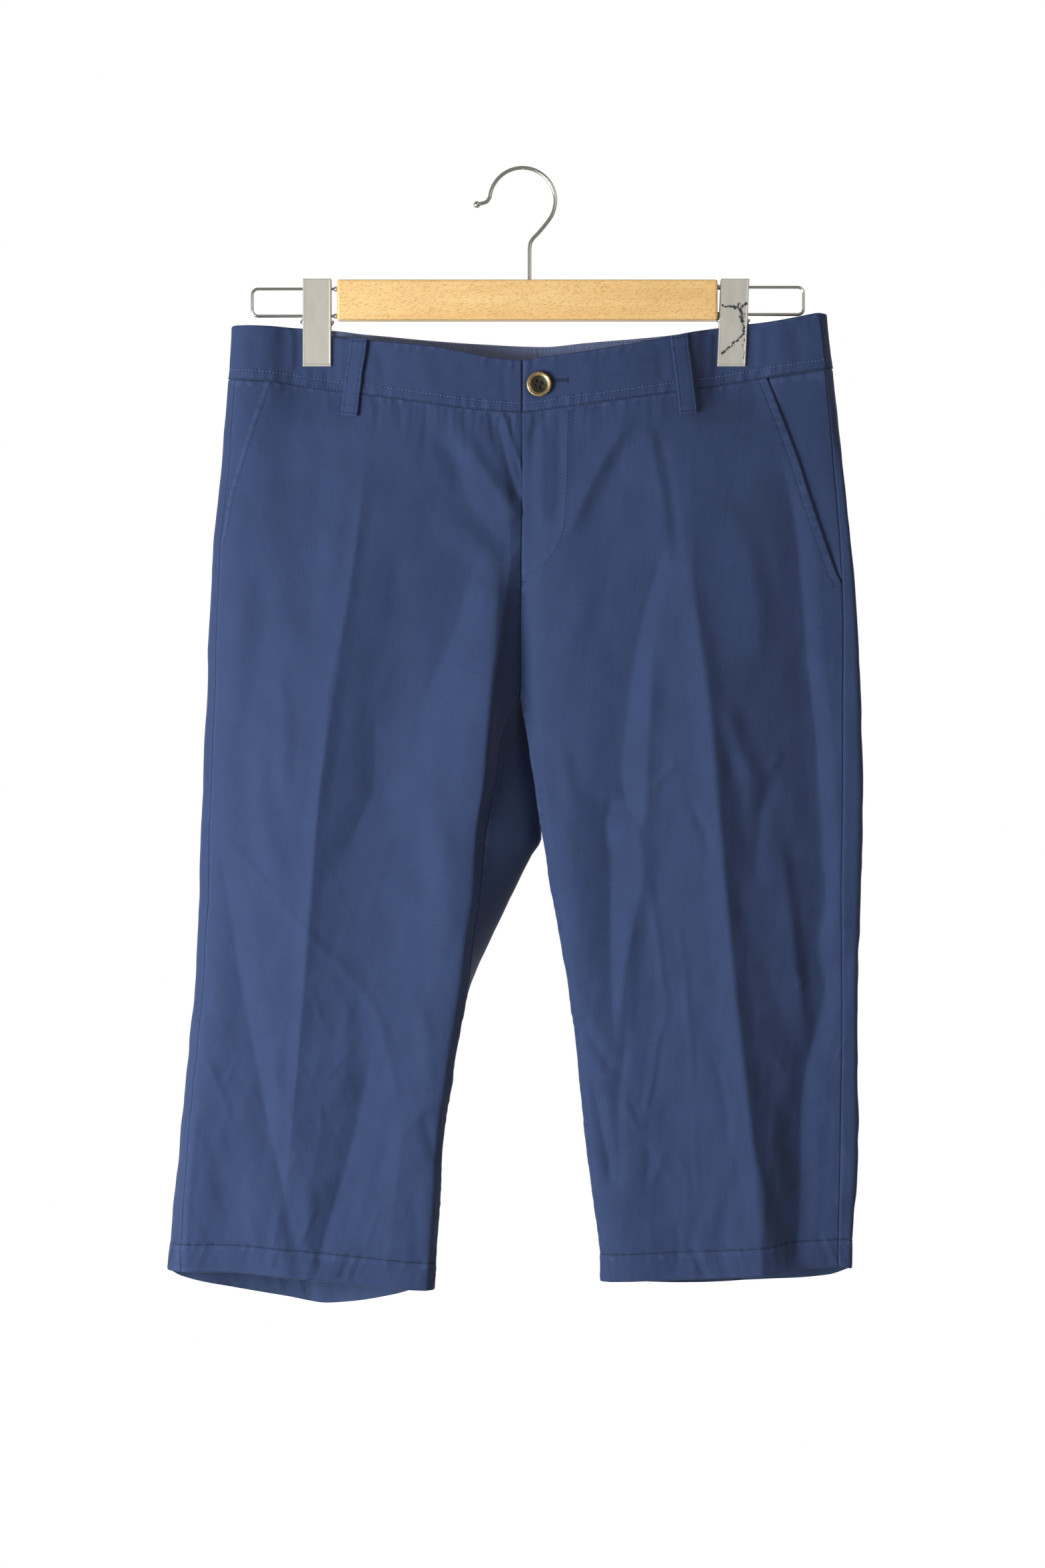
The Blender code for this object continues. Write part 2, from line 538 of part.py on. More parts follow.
def back_panel(name, half):
    v, u = np.meshgrid(BODY_ROWS, BACK_STATIONS, indexing="ij")
    return cloth_piece(name, half, u, body_height(half, u, v), CLOTH_WALL)


def pocket_side(name, half):
    """The side piece behind a slanted pocket edge, tucked under the front panel."""
    share = np.linspace(0.0, 1.0, 10)
    across = np.linspace(0.0, 1.0, 6)
    bottom = POCKET_END[half] + POCKET_FOOT
    top = body_height(half, np.full(1, float(SIDE)), np.zeros(1))[0]
    z_line = top + (bottom - top) * share
    edge = pocket_station(half, z_line)
    edge_x = np.array([station_x(half, np.array([e]), h)[0] for e, h in zip(edge, z_line)])
    under = station_at(half, edge_x - half * POCKET_UNDERLAP, z_line)
    u = under[:, None] + (SIDE - under)[:, None] * across[None, :]
    seam = body_height(half, u, np.zeros_like(u))
    z = seam + (bottom - seam) * share[:, None]
    clear = (u - edge[:, None]) / np.maximum(SIDE - edge, 1e-6)[:, None]
    inset = POCKET_SINK * (1 - smooth_step(0.15, 1.0, clear))
    return cloth_piece(name, half, u, z, CLOTH_WALL, inset)


def waistband():
    """Two front lengths that overlap at the centre front, and one back length."""
    rows = np.linspace(0.0, 1.0, 4)
    v, u = np.meshgrid(rows, band_stations(1, front=True), indexing="ij")
    cloth_piece("waistband_front_left", 1, u, band_height(1, u, v), BAND_WALL)

    reach = station_at(1, np.array([3.0, 8.0, 20.0, BUTTON_EXTENSION]), np.full(4, WAIST_LEVEL))
    step = station_at(-1, [-3.0, -BAND_STEP], [WAIST_LEVEL] * 2)
    tucked = np.concatenate([-reach[::-1], [0.0], step])
    plain = band_stations(-1, front=True)
    stations = np.concatenate([tucked, plain[plain > tucked[-1] + 0.1]])
    v, u = np.meshgrid(rows, stations, indexing="ij")
    z = np.where(u < 0, band_height(1, np.abs(u), v), band_height(-1, np.abs(u), v))
    inset = np.where(u <= tucked[-2], BAND_WALL + LAY_GAP, 0.0)
    cloth_piece("waistband_front_right", -1, u, z, BAND_WALL, inset)

    halves = []
    for half in (-1, 1):
        v, u = np.meshgrid(rows, band_stations(half, front=False), indexing="ij")
        z = band_height(half, u, v)
        halves.append((cloth(half, u, z), cloth_normal(half, u, z)))
    (right, right_out), (left, left_out) = halves
    points = trimmed(np.concatenate([right, left[:, -2::-1]], axis=1))
    normals = np.concatenate([right_out, left_out[:, -2::-1]], axis=1)
    sheet_wall("waistband_back", points + normals * BAND_WALL / 2,
               points - normals * BAND_WALL / 2, "navy_cotton")


def belt_loop(spec):
    """A strap laid on the waistband, its ends tacked down and its middle standing off."""
    rows = np.linspace(0.0, 1.0, 9)
    x_line = spec.top_x + (spec.bottom_x - spec.top_x) * rows
    half = 1 if spec.top_x > 10.9 else -1
    middle = station_at(half, [spec.top_x], [WAIST_LEVEL], spec.front)
    top = band_height(half, middle, np.zeros(1))[0]
    z_line = top + (spec.bottom - top) * rows
    base = station_at(half, x_line, z_line, spec.front)
    points = cloth(half, base, z_line)
    face = np.mean(cloth_normal(half, base, z_line), axis=0)
    along = points[-1] - points[0]
    along /= np.linalg.norm(along)
    side = np.cross(along, face)
    side /= np.linalg.norm(side)
    rise = LOOP_RISE * np.sin(math.pi * rows) ** 2
    carried = BAND_WALL / 2 + LAY_GAP + LOOP_SEAT
    low = points + face * (carried + rise)[:, None]
    offsets = np.array([-0.5, -0.25, 0.0, 0.25, 0.5]) * LOOP_WIDTH
    inner = low[:, None] + side * offsets[:, None]
    outer = inner + face * LOOP_WALL
    return sheet_wall(spec.name, outer, inner, "navy_cotton")


# ---------------------------------------------------------------- hard pieces

def lathe(name, profile, centre, facing, finish, segments=24):
    """A turned piece: (radius, height) pairs spun about `facing` through `centre`."""
    facing = np.asarray(facing, float)
    facing /= np.linalg.norm(facing)
    helper = np.array([0.0, 0.0, 1.0]) if abs(facing[2]) < 0.9 else np.array([1.0, 0.0, 0.0])
    first = np.cross(facing, helper)
    first /= np.linalg.norm(first)
    second = np.cross(facing, first)
    shape = bmesh.new()
    rings = []
    for radius, height in profile:
        middle = np.asarray(centre) + facing * height
        if radius == 0:
            rings.append([shape.verts.new(middle)])
            continue
        angles = np.arange(segments) * 2 * math.pi / segments
        rings.append([shape.verts.new(middle + radius * (first * math.cos(a) + second * math.sin(a)))
                      for a in angles])
    for low, high in zip(rings[:-1], rings[1:]):
        for k in range(segments):
            n = (k + 1) % segments
            corners = [low[k % len(low)], low[n % len(low)], high[n % len(high)], high[k % len(high)]]
            unique = list(dict.fromkeys(corners))
            shape.faces.new(unique)
    return finish_mesh(name, shape, finish, 35)


def waist_button():
    u = station_at(1, [BUTTON_X], [BUTTON_HEIGHT])
    point = cloth(1, u, [BUTTON_HEIGHT])[0]
    facing = cloth_normal(1, u, [BUTTON_HEIGHT])[0]
    radius = BUTTON_WIDTH / 2
    seat = point + facing * (BAND_WALL / 2 + LAY_GAP + 0.1)
    profile = ((0, 0), (radius * 0.8, 0), (radius, 1.0), (radius, 2.4), (radius * 0.9, BUTTON_THICK),
               (radius * 0.74, BUTTON_THICK), (radius * 0.64, 2.2), (0, 2.0))
    return lathe("waist_button", profile, seat, facing, "horn_button", 28)


def wire(name, route, diameter, finish, resolution=2):
    """A wire along a route of points, with filled ends."""
    curve = bpy.data.curves.new(name, "CURVE")
    curve.dimensions = "3D"
    curve.bevel_depth = diameter / 2 * MM
    curve.bevel_resolution = resolution
    curve.use_fill_caps = True
    line = curve.splines.new("POLY")
    line.points.add(len(route) - 1)
    for point, place in zip(line.points, route):
        point.co = (place[0] * MM, place[1] * MM, place[2] * MM, 1.0)
    curve.materials.append(material(finish))
    placed = bpy.data.objects.new(name, curve)
    bpy.context.scene.collection.objects.link(placed)
    return placed


def arc(centre, radius, start, end, steps):
    """Points of an arc in the XZ plane, angles in degrees from +X towards +Z."""
    angles = np.radians(np.linspace(start, end, steps + 1))
    return [(centre[0] + radius * math.cos(a), 0.0, centre[1] + radius * math.sin(a)) for a in angles]


def hanger_hook():
    """A question-mark hook: an open end, a round bend and a straight stem in the bar."""
    route = [HOOK_TIP, (-24.6, 0.0, -21.9)]
    route += arc((0.0, -HOOK_BEND), HOOK_BEND + HOOK_WIRE / 2, 174, -36, 22)
    route += [*HOOK_NECK, (HOOK_STEM_X, 0.0, BAR_TOP - WIRE_SOCKET + 1.0)]
    wire("hanger_hook", route, HOOK_WIRE, "steel_wire")


def hook_tip_ball():
    """A ball with a small flat, seated on the open end of the hook."""
    turns = np.radians(np.linspace(-90, BALL_FLAT, 8))
    profile = [(0, -BALL_RADIUS)]
    profile += [(BALL_RADIUS * math.cos(a), BALL_RADIUS * math.sin(a)) for a in turns[1:]]
    flat = profile[-1][1]
    profile.append((0, flat))
    along = np.array(BALL_AXIS) / np.linalg.norm(BALL_AXIS)
    seat = np.array(HOOK_TIP) - along * (flat + LAY_GAP)
    lathe("hook_tip_ball", profile, seat, along, "steel_wire", 14)


def hanger_loop(name, half):
    """One U-shaped wire; its two legs are held in the end of the bar."""
    upper, lower = LOOP_HEIGHTS[half]
    end = LOOP_ENDS[half] - half * LOOP_WIRE / 2
    bar_end = BAR_RIGHT if half > 0 else BAR_LEFT
    inside = bar_end - half * (WIRE_SOCKET - 1.0)
    corner_x = end - half * LOOP_CORNER
    if half > 0:
        upper_arc = arc((corner_x, upper - LOOP_CORNER), LOOP_CORNER, 90, 0, 5)
        lower_arc = arc((corner_x, lower + LOOP_CORNER), LOOP_CORNER, 0, -90, 5)
    else:
        upper_arc = arc((corner_x, upper - LOOP_CORNER), LOOP_CORNER, 90, 180, 5)
        lower_arc = arc((corner_x, lower + LOOP_CORNER), LOOP_CORNER, 180, 270, 5)
    route = [(inside, 0.0, upper)] + upper_arc + lower_arc + [(inside, 0.0, lower)]
    wire(name, route, LOOP_WIRE, "steel_wire")


def drill(target, centre, axis, diameter, depth):
    """Cuts a round socket into a piece with a hidden cutter."""
    shape = bmesh.new()
    bmesh.ops.create_cone(shape, cap_ends=True, segments=12, radius1=diameter / 2 * MM,
                          radius2=diameter / 2 * MM, depth=depth * MM)
    mesh = bpy.data.meshes.new("socket_cutter")
    shape.to_mesh(mesh)
    shape.free()
    cutter = bpy.data.objects.new("socket_cutter", mesh)
    cutter.location = [c * MM for c in centre]
    if axis == "X":
        cutter.rotation_euler = (0.0, math.pi / 2, 0.0)
    cutter.hide_render = True
    cutter.display_type = "WIRE"
    bpy.context.scene.collection.objects.link(cutter)
    cut = target.modifiers.new("socket", "BOOLEAN")
    cut.operation = "DIFFERENCE"
    cut.solver = "EXACT"
    cut.object = cutter


def hanger_bar():
    """A rectangular wooden bar with eased edges, drilled for the hook and the two wires."""
    shape = bmesh.new()
    bmesh.ops.create_cube(shape, size=1.0)
    size = (BAR_RIGHT - BAR_LEFT, BAR_DEPTH, BAR_TOP - BAR_BOTTOM)
    bmesh.ops.scale(shape, vec=size, verts=shape.verts)
    bmesh.ops.bevel(shape, geom=list(shape.edges), offset=1.6, segments=2, profile=0.5,
                    affect="EDGES")
    middle = ((BAR_LEFT + BAR_RIGHT) / 2, 0.0, (BAR_TOP + BAR_BOTTOM) / 2)
    bmesh.ops.translate(shape, vec=middle, verts=shape.verts)
    bar = finish_mesh("hanger_bar", shape, "beech_wood", 35)
    drill(bar, (HOOK_STEM_X, 0.0, BAR_TOP - WIRE_SOCKET / 2 + 1.0), "Z",
          HOOK_WIRE + 2 * SEAM_GAP, WIRE_SOCKET + 2.0)
    for half, bar_end in ((-1, BAR_LEFT), (1, BAR_RIGHT)):
        for height in LOOP_HEIGHTS[half]:
            drill(bar, (bar_end - half * (WIRE_SOCKET / 2 - 1.0), 0.0, height), "X",
                  LOOP_WIRE + 2 * SEAM_GAP, WIRE_SOCKET + 2.0)


def lean(shape, half):
    """Sets a clip's piece at its slant, about the top of the clip."""
    for vert in shape.verts:
        vert.co.x += CLIP_LEAN[half] * (vert.co.z - CLIP_TOP)


def clip_jaw(name, half, outward):
    """A pressed plate with a raised rim; it grips the waistband with its lower part."""
    shape = bmesh.new()
    bmesh.ops.create_cube(shape, size=1.0)
    bmesh.ops.scale(shape, vec=(CLIP_WIDTH, CLIP_WALL, CLIP_TOP - CLIP_BOTTOM), verts=shape.verts)
    shape.faces.ensure_lookup_table()
    outer_face = max(shape.faces, key=lambda face: face.normal.y * outward)
    bmesh.ops.inset_region(shape, faces=[outer_face], thickness=CLIP_RIM, depth=0.0)
    bmesh.ops.translate(shape, vec=(0.0, -outward * CLIP_DISH, 0.0), verts=outer_face.verts)
    inside = PINCH + BAND_WALL / 2 + LAY_GAP
    middle_y = outward * (inside + CLIP_WALL / 2)
    bmesh.ops.translate(shape, vec=(CLIP_X[half], middle_y, (CLIP_TOP + CLIP_BOTTOM) / 2),
                        verts=shape.verts)
    lean(shape, half)
    return finish_mesh(name, shape, "nickel_clip", 35)


def clip_spring(name, half):
    """The sprung barrel on which the two jaws of a clip turn."""
    shape = bmesh.new()
    bmesh.ops.create_cone(shape, cap_ends=True, segments=16, radius1=CLIP_SPRING / 2,
                          radius2=CLIP_SPRING / 2, depth=CLIP_WIDTH + 2.4)
    height = LOOP_HEIGHTS[half][1] - LOOP_WIRE / 2 - CLIP_SPRING_GAP - CLIP_SPRING / 2
    for vert in shape.verts:
        x, y, z = vert.co
        vert.co = (CLIP_X[half] + z, y, height - x)
    lean(shape, half)
    return finish_mesh(name, shape, "steel_wire", 35)


def clear_scene():
    for placed in list(bpy.data.objects):
        bpy.data.objects.remove(placed, do_unlink=True)


def build():
    clear_scene()
    for side, half in (("right", -1), ("left", 1)):
        front_panel("front_" + side, half)
        back_panel("back_" + side, half)
        pocket_side("pocket_side_" + side, half)
        hanger_loop("hanger_loop_" + side, half)
        clip_jaw("clip_" + side + "_front", half, -1)
        clip_jaw("clip_" + side + "_back", half, 1)
        clip_spring("clip_" + side + "_spring", half)
    waistband()
    for spec in BELT_LOOPS:
        belt_loop(spec)
    waist_button()
    hanger_bar()
    hanger_hook()
    hook_tip_ball()


build()
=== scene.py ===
"""Looks of the capri pants on their clip hanger.

The garment's surface follows the same named stations and girth lines as its solids; every cut
piece is rebuilt on it as a fine cloth shell with its folds, seams, hems and stitching.
Sizes are in millimetres and become metres when a mesh is made.
Front faces -Y, the wearer's left is +X, +Z is up, and the hook's inner top is the origin.
"""
import math
from collections import namedtuple

import bpy
import numpy as np
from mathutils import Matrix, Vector
from mathutils.bvhtree import BVHTree


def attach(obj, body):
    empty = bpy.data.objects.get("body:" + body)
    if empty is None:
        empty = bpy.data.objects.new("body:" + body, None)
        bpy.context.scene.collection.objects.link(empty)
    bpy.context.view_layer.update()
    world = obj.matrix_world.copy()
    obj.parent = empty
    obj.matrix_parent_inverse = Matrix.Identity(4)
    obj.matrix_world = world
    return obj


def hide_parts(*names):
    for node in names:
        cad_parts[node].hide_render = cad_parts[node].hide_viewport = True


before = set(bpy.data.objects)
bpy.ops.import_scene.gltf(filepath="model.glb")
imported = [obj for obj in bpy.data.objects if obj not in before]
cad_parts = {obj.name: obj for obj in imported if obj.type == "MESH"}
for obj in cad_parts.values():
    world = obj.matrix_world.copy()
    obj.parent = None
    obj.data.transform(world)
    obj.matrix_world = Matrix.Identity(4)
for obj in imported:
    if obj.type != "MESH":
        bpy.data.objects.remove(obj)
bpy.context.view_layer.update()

MM = 0.001
UPWARD = np.array([0.0, 0.0, 1.0])

# Cloth
CLOTH_FACE = 0.8
CLOTH_WALL = 1.2
BAND_FACE = 1.1
BAND_WALL = 1.9
HEM_DEPTH = 18.5
FOLD_STRENGTH = 1.3
GATHER_STRENGTH = 1.15
STITCH_PITCH = 2.4

# Levels and marks on the garment
CROTCH_HEIGHT = -356.7
CROTCH_SHARE = 0.42
WAIST_LEVEL = -150.0
HEM_LEVEL = -751.0
POCKET_END = {-1: -255.0, 1: -285.0}
POCKET_UNDERLAP = 12.0
POCKET_SINK = {-1: 1.1, 1: 1.3}
POCKET_GAPE = {-1: 0.1, 1: 0.4}
BUTTON_EXTENSION = 36.0
BUTTON_TUCK = 1.2
TUCK_GAP = 0.25
FLY_FOOT = -279.0

# Stations round each half, counted from the centre front (0) to the centre back (11), and how
# sharply the cloth turns at some of them
FOLD, CREASE, SIDE, EDGE = 1, 3, 5, 6
BACK_CREASE, BACK_CENTRE = 8, 11
SHARPNESS = {-1: {FOLD: 0.7, CREASE: 1.0, BACK_CREASE: 0.8},
             1: {FOLD: 0.4, CREASE: 1.0, SIDE: 0.9, BACK_CREASE: 0.8}}

# Clips
CLIP_X = {-1: -140.1, 1: 145.0}
CLIP_LEAN = {-1: 0.0, 1: 0.044}
CLIP_WIDTH = 19.2
CLIP_TOP, CLIP_BOTTOM = -74.8, -134.5
PINCH = 1.7
PINCH_REACH = 32.0
PINCH_FOOT = -178.0

# Seams: the gap between pieces, how far the back's cloth goes on in line with the front behind
# the side seam and how late it turns, and the rounding of a cut edge
SEAM_GAP = 0.12
STRIP_SHARE = {-1: 0.15, 1: 1.0}
STRIP_TURN = 12
STRIP_TOP, STRIP_FULL = -150.0, -215.0
EDGE_ROUND = 0.28
CROTCH_NORMAL = (0.0, -0.2, -0.98)

# Stitching
STITCH_RADIUS = 0.2
STITCH_SIDES = 5
STITCH_SPAN = (-0.5, -0.28, 0.28, 0.5)
STITCH_TAPER = (0.55, 1.0, 1.0, 0.55)
STITCH_DIVE = 0.16
POCKET_STITCH = {-1: 4.2, 1: 6.2}
BAND_STITCH = 6.1
FLY_STITCH = ((31.4, -165.0), (30.5, -187.5), (30.3, -212.5), (29.4, -224.3), (28.2, -243.4),
              (22.1, -259.8), (18.2, -265.7), (12.7, -271.6), (0.8, -278.2))
CENTRE_BACK_X = 10.5
CAST_FROM = -120.0

# Button
BUTTON_X, BUTTON_HEIGHT = 11.4, -147.8
BUTTON_WIDTH = 17.0
BUTTON_RIM, BUTTON_DISH = 1.05, 1.75
HOLES = ((-1.1, 2.2), (2.1, 1.05), (-2.1, -1.05), (1.1, -2.2))
HOLE_RADIUS, HOLE_DEPTH = 1.0, 1.1
HOLE_END, HOLE_HEIGHT = 30.6, -145.0
HOLE_LIP, HOLE_TACK = 0.62, 2.1
HOLE_PITCH = 0.52

# Hanger
BAR_LEFT, BAR_RIGHT = -126.3, 132.9
BAR_TOP = -75.5
HOOK_WIRE = 2.8
HOOK_BEND = 21.0
HOOK_OPENING, HOOK_TURN = 174, -36
HOOK_TIP = (-28.9, 0.0, -23.2)
HOOK_LIP = (-24.6, 0.0, -21.9)
HOOK_NECK = ((10.5, 0.0, -43.5), (7.0, 0.0, -47.2), (5.3, 0.0, -50.4), (4.8, 0.0, -54.0))
HOOK_STEM_X = 4.8
BALL_RADIUS = 2.5
BALL_AXIS = (5.5, 0.0, 1.3)
BALL_FLAT = 58.0
LOOP_WIRE = 2.2
LOOP_CORNER = 4.0
LOOP_ENDS = {-1: -185.5, 1: 192.9}
LOOP_HEIGHTS = {-1: (-81.3, -99.8), 1: (-80.1, -98.7)}
WIRE_SOCKET = 14.0
COLLAR_WIDTH, COLLAR_LENGTH = 3.6, 2.2
CLIP_WALL = 1.2
PLATE_ROUND = 0.12
CLIP_SEAT = 3.1
CLIP_LIP = 0.25
CLIP_SPRING = 5.2
CLIP_SPRING_GAP = 0.4
SPRING_WIRE = 1.1
SPRING_TURNS = 16
SPRING_WANDER = 0.9
PIN_WIRE = 2.0

# Dark veins of the marbled clip: from (x, z), to (x, z), half width
Vein = namedtuple("Vein", "start end width")
VEINS = (
    Vein((137.0, -93.3), (148.0, -94.5), 1.3), Vein((148.0, -94.5), (153.0, -91.5), 1.0),
    Vein((147.0, -93.0), (150.0, -102.0), 1.9), Vein((150.0, -102.0), (150.6, -112.5), 1.7),
    Vein((150.6, -112.5), (143.8, -119.5), 1.3), Vein((143.8, -119.5), (135.9, -126.0), 0.8),
    Vein((151.5, -115.5), (150.3, -121.0), 0.4), Vein((150.3, -121.0), (151.0, -129.6), 0.4),
)
VEIN_WANDER, VEIN_RAGGED = 5.0, 5.0

# Colours, linear red, green, blue
PALE_NAVY = (0.0285, 0.0455, 0.1110, 1.0)
DARK_NAVY = (0.0200, 0.0320, 0.0770, 1.0)
WORN_NAVY = (0.060, 0.088, 0.185, 1.0)
# Inside faces: a paler navy, painted light for inner faces that lie in shade
INSIDE_PALE_PAINTED_LIGHT = (0.042, 0.062, 0.130, 1.0)
INSIDE_DARK_PAINTED_LIGHT = (0.030, 0.045, 0.098, 1.0)
# The waistband's inner facing: a much paler navy, painted light for a face that lies in shade
FACING_PALE_PAINTED_LIGHT = (0.170, 0.215, 0.370, 1.0)
FACING_DARK_PAINTED_LIGHT = (0.120, 0.152, 0.270, 1.0)
THREAD_TONES = (0.016, 0.023, 0.050, 1.0), (0.006, 0.009, 0.020, 1.0)
PALE_THREAD_TONES = (0.118, 0.158, 0.280, 1.0), (0.064, 0.089, 0.168, 1.0)
WOOD_RINGS = (0.72, 0.431, 0.159, 1.0), (0.79, 0.507, 0.208, 1.0)
WOOD_HAZE = (0.645, 0.372, 0.134, 1.0)
WOOD_FLECK = (0.447, 0.228, 0.069, 1.0)
WOOD_PORE = (0.568, 0.304, 0.106, 1.0)
STEEL_TONE = (0.60, 0.59, 0.56, 1.0)
NICKEL_TONE = (0.515, 0.470, 0.395, 1.0)
VEINED_TONE = (0.540, 0.500, 0.430, 1.0)
VEIN_TONE = (0.03, 0.035, 0.045, 1.0)
BRASS_DULL, BRASS_BRIGHT = (0.20, 0.135, 0.055, 1.0), (0.60, 0.44, 0.22, 1.0)
DISH_TONE = (0.045, 0.040, 0.028, 1.0)
FLOOR_TONE = (0.9, 0.9, 0.9, 1.0)
WHITE = (1.0, 1.0, 1.0, 1.0)

# Weave and grain
YARN = 0.4
GRAIN_SHIFT = 37.0
WAVE_OF_YARN = 0.314
FLECK_TILT = 0.35

# Studio, in metres, watts and millimetres of lens
WARM, COOL = (1.0, 0.91, 0.83), (0.845, 0.935, 1.02)
SURROUND_BACK, SURROUND_FRONT = 1.0, 0.28
SURROUND_FROM, SURROUND_TO = -0.2, 0.7
LIGHT_AIM = (0.0, 0.0, -0.45)
KEY_PLACE, KEY_POWER, KEY_SIZE = (-1.2, -1.1, -0.62), 49.5, 0.95
FILL_PLACE, FILL_POWER, FILL_SIZE = (1.4, -2.2, 0.6), 11.0, 1.6
FLOOR_HEIGHT, FLOOR_REACH, FLOOR_SIDES = -0.96, 1.1, 96
FLOOR_GLOW = 0.7
CAMERA_PLACE = (0.0, -2.6, -0.41906)
CAMERA_LENS, CAMERA_SENSOR = 87.48, 36.0
CAMERA_NEAR, CAMERA_FAR = 0.05, 60.0


Section = namedtuple("Section", "height centre fold hollow crease flank side edge back_flank "
                     "back_crease back_hollow back_fold")

# The centre back seam down to the crotch: (height, (x, y)); below it the cut closes on the inseam
CENTRE_BACK = ((-95, (10.5, 14.5)), (-150, (10.5, 15)), (-205, (11, 17)), (-260, (12.5, 18)),
               (-316, (13, 14)), (-338, (7, 6)), (-356.7, (-1.8, -3)))

# Level cuts through the wearer's right half (X below 0): (x, y) of each station
RIGHT_SECTIONS = (
    Section(-95, (0, -13.5), (-22, -14.5), (-64, -13), (-108, -7.5), (-150, -4.5), (-192, -4.2),
            (-195.8, 0), (-150, 4.5), (-100, 9), (-55, 13), (-15, 14.5)),
    Section(-150, (0, -12), (-20, -12.5), (-62, -13), (-106, -10), (-150, -6), (-196, -4.6),
            (-199.8, 0.3), (-150, 6.5), (-102, 11), (-56, 14), (-14, 15)),
    Section(-205, (0, -9.5), (-12, -12), (-64, -12.5), (-108, -15.5), (-155, -11),
            (-200, -5.8), (-204.8, 0.5), (-155, 11), (-104, 17), (-58, 17.5), (-14, 17.5)),
    Section(-260, (-0.5, -8), (-8, -12), (-66, -13.5), (-113.5, -19.5), (-165, -14), (-205.5, -6.3),
            (-210, 0.5), (-160, 15), (-107, 22), (-58, 20), (-12, 18.5)),
    Section(-316, (-1.5, -5.5), (-15, -19.5), (-80, -16), (-122.5, -24), (-172, -16.5), (-208, -6.6),
            (-213, 0.5), (-165, 18), (-110, 26), (-58, 22), (-10, 18)),
    Section(-356.7, (-1.8, -3), (-22, -26), (-88, -18), (-130.5, -26.5), (-176, -17.5),
            (-209, -6.6), (-214, 0.5), (-168, 19), (-112, 28), (-58, 24), (3, 15)),
    Section(-384, (-13.7, -9), (-24, -27), (-92, -18.5), (-133, -27), (-178, -17.8),
            (-210, -6.6), (-215.3, 0.5), (-170, 19.5), (-114, 29), (-58, 25), (7, 14)),
    Section(-421, (-19.7, -12), (-27, -27.5), (-96, -19.5), (-137, -27.5), (-181, -18),
            (-211.5, -6.8), (-217, 0.5), (-172, 20), (-116, 30), (-60, 25), (11, 13)),
    Section(-456, (-25.5, -19), (-32, -27), (-98, -20.5), (-140, -27.5), (-183, -18.2),
            (-213, -7), (-218.6, 0.5), (-174, 20.5), (-119, 30.5), (-64, 25.5), (12, 12)),
    Section(-468, (-26.7, -19.3), (-32.8, -26.7), (-98.6, -20.7), (-140.8, -27.3), (-183.3, -18.3),
            (-213.2, -7), (-218.8, 0.5), (-174.6, 20.7), (-119.9, 30.7), (-65.9, 25.7), (5.3, 11.5)),
    Section(-494, (-29.3, -20), (-34.5, -26), (-100, -21), (-142.5, -27), (-184, -18.5),
            (-213.6, -7), (-219.2, 0.5), (-176, 21), (-122, 31), (-70, 26), (-7.8, 10.5)),
    Section(-530, (-34.5, -19.5), (-40, -25), (-102, -21.5), (-145.5, -26.5), (-186, -18.8), (-215.5, -9),
            (-221.4, 0.5), (-179, 21.5), (-127, 31), (-78, 26), (-24.5, 9)),
    Section(-567, (-39.6, -18.5), (-45, -24), (-106, -21.5), (-148.5, -26), (-188, -19), (-217.8, -11.5),
            (-224, 0.5), (-182, 22), (-132, 31), (-86, 26), (-44, 8.5)),
    Section(-658, (-53.6, -16), (-58.5, -21.5), (-114, -21), (-156.5, -25), (-196, -19.5), (-226, -16.5),
            (-232.6, 0.5), (-190, 21), (-138, 31), (-96, 25.5), (-59, 9.5)),
    Section(-751, (-59.6, -14.5), (-64.5, -20), (-118, -20), (-163, -23), (-203, -17), (-231.5, -15.5),
            (-241.4, 0.5), (-200, 19.5), (-145, 30.5), (-100, 24.5), (-65, 10)),
    Section(-790, (-62, -13.5), (-67, -19), (-120, -19.5), (-165, -22), (-205, -16), (-233, -13),
            (-243.6, 0.5), (-203, 19), (-147, 30), (-102, 24), (-67, 10)),
)

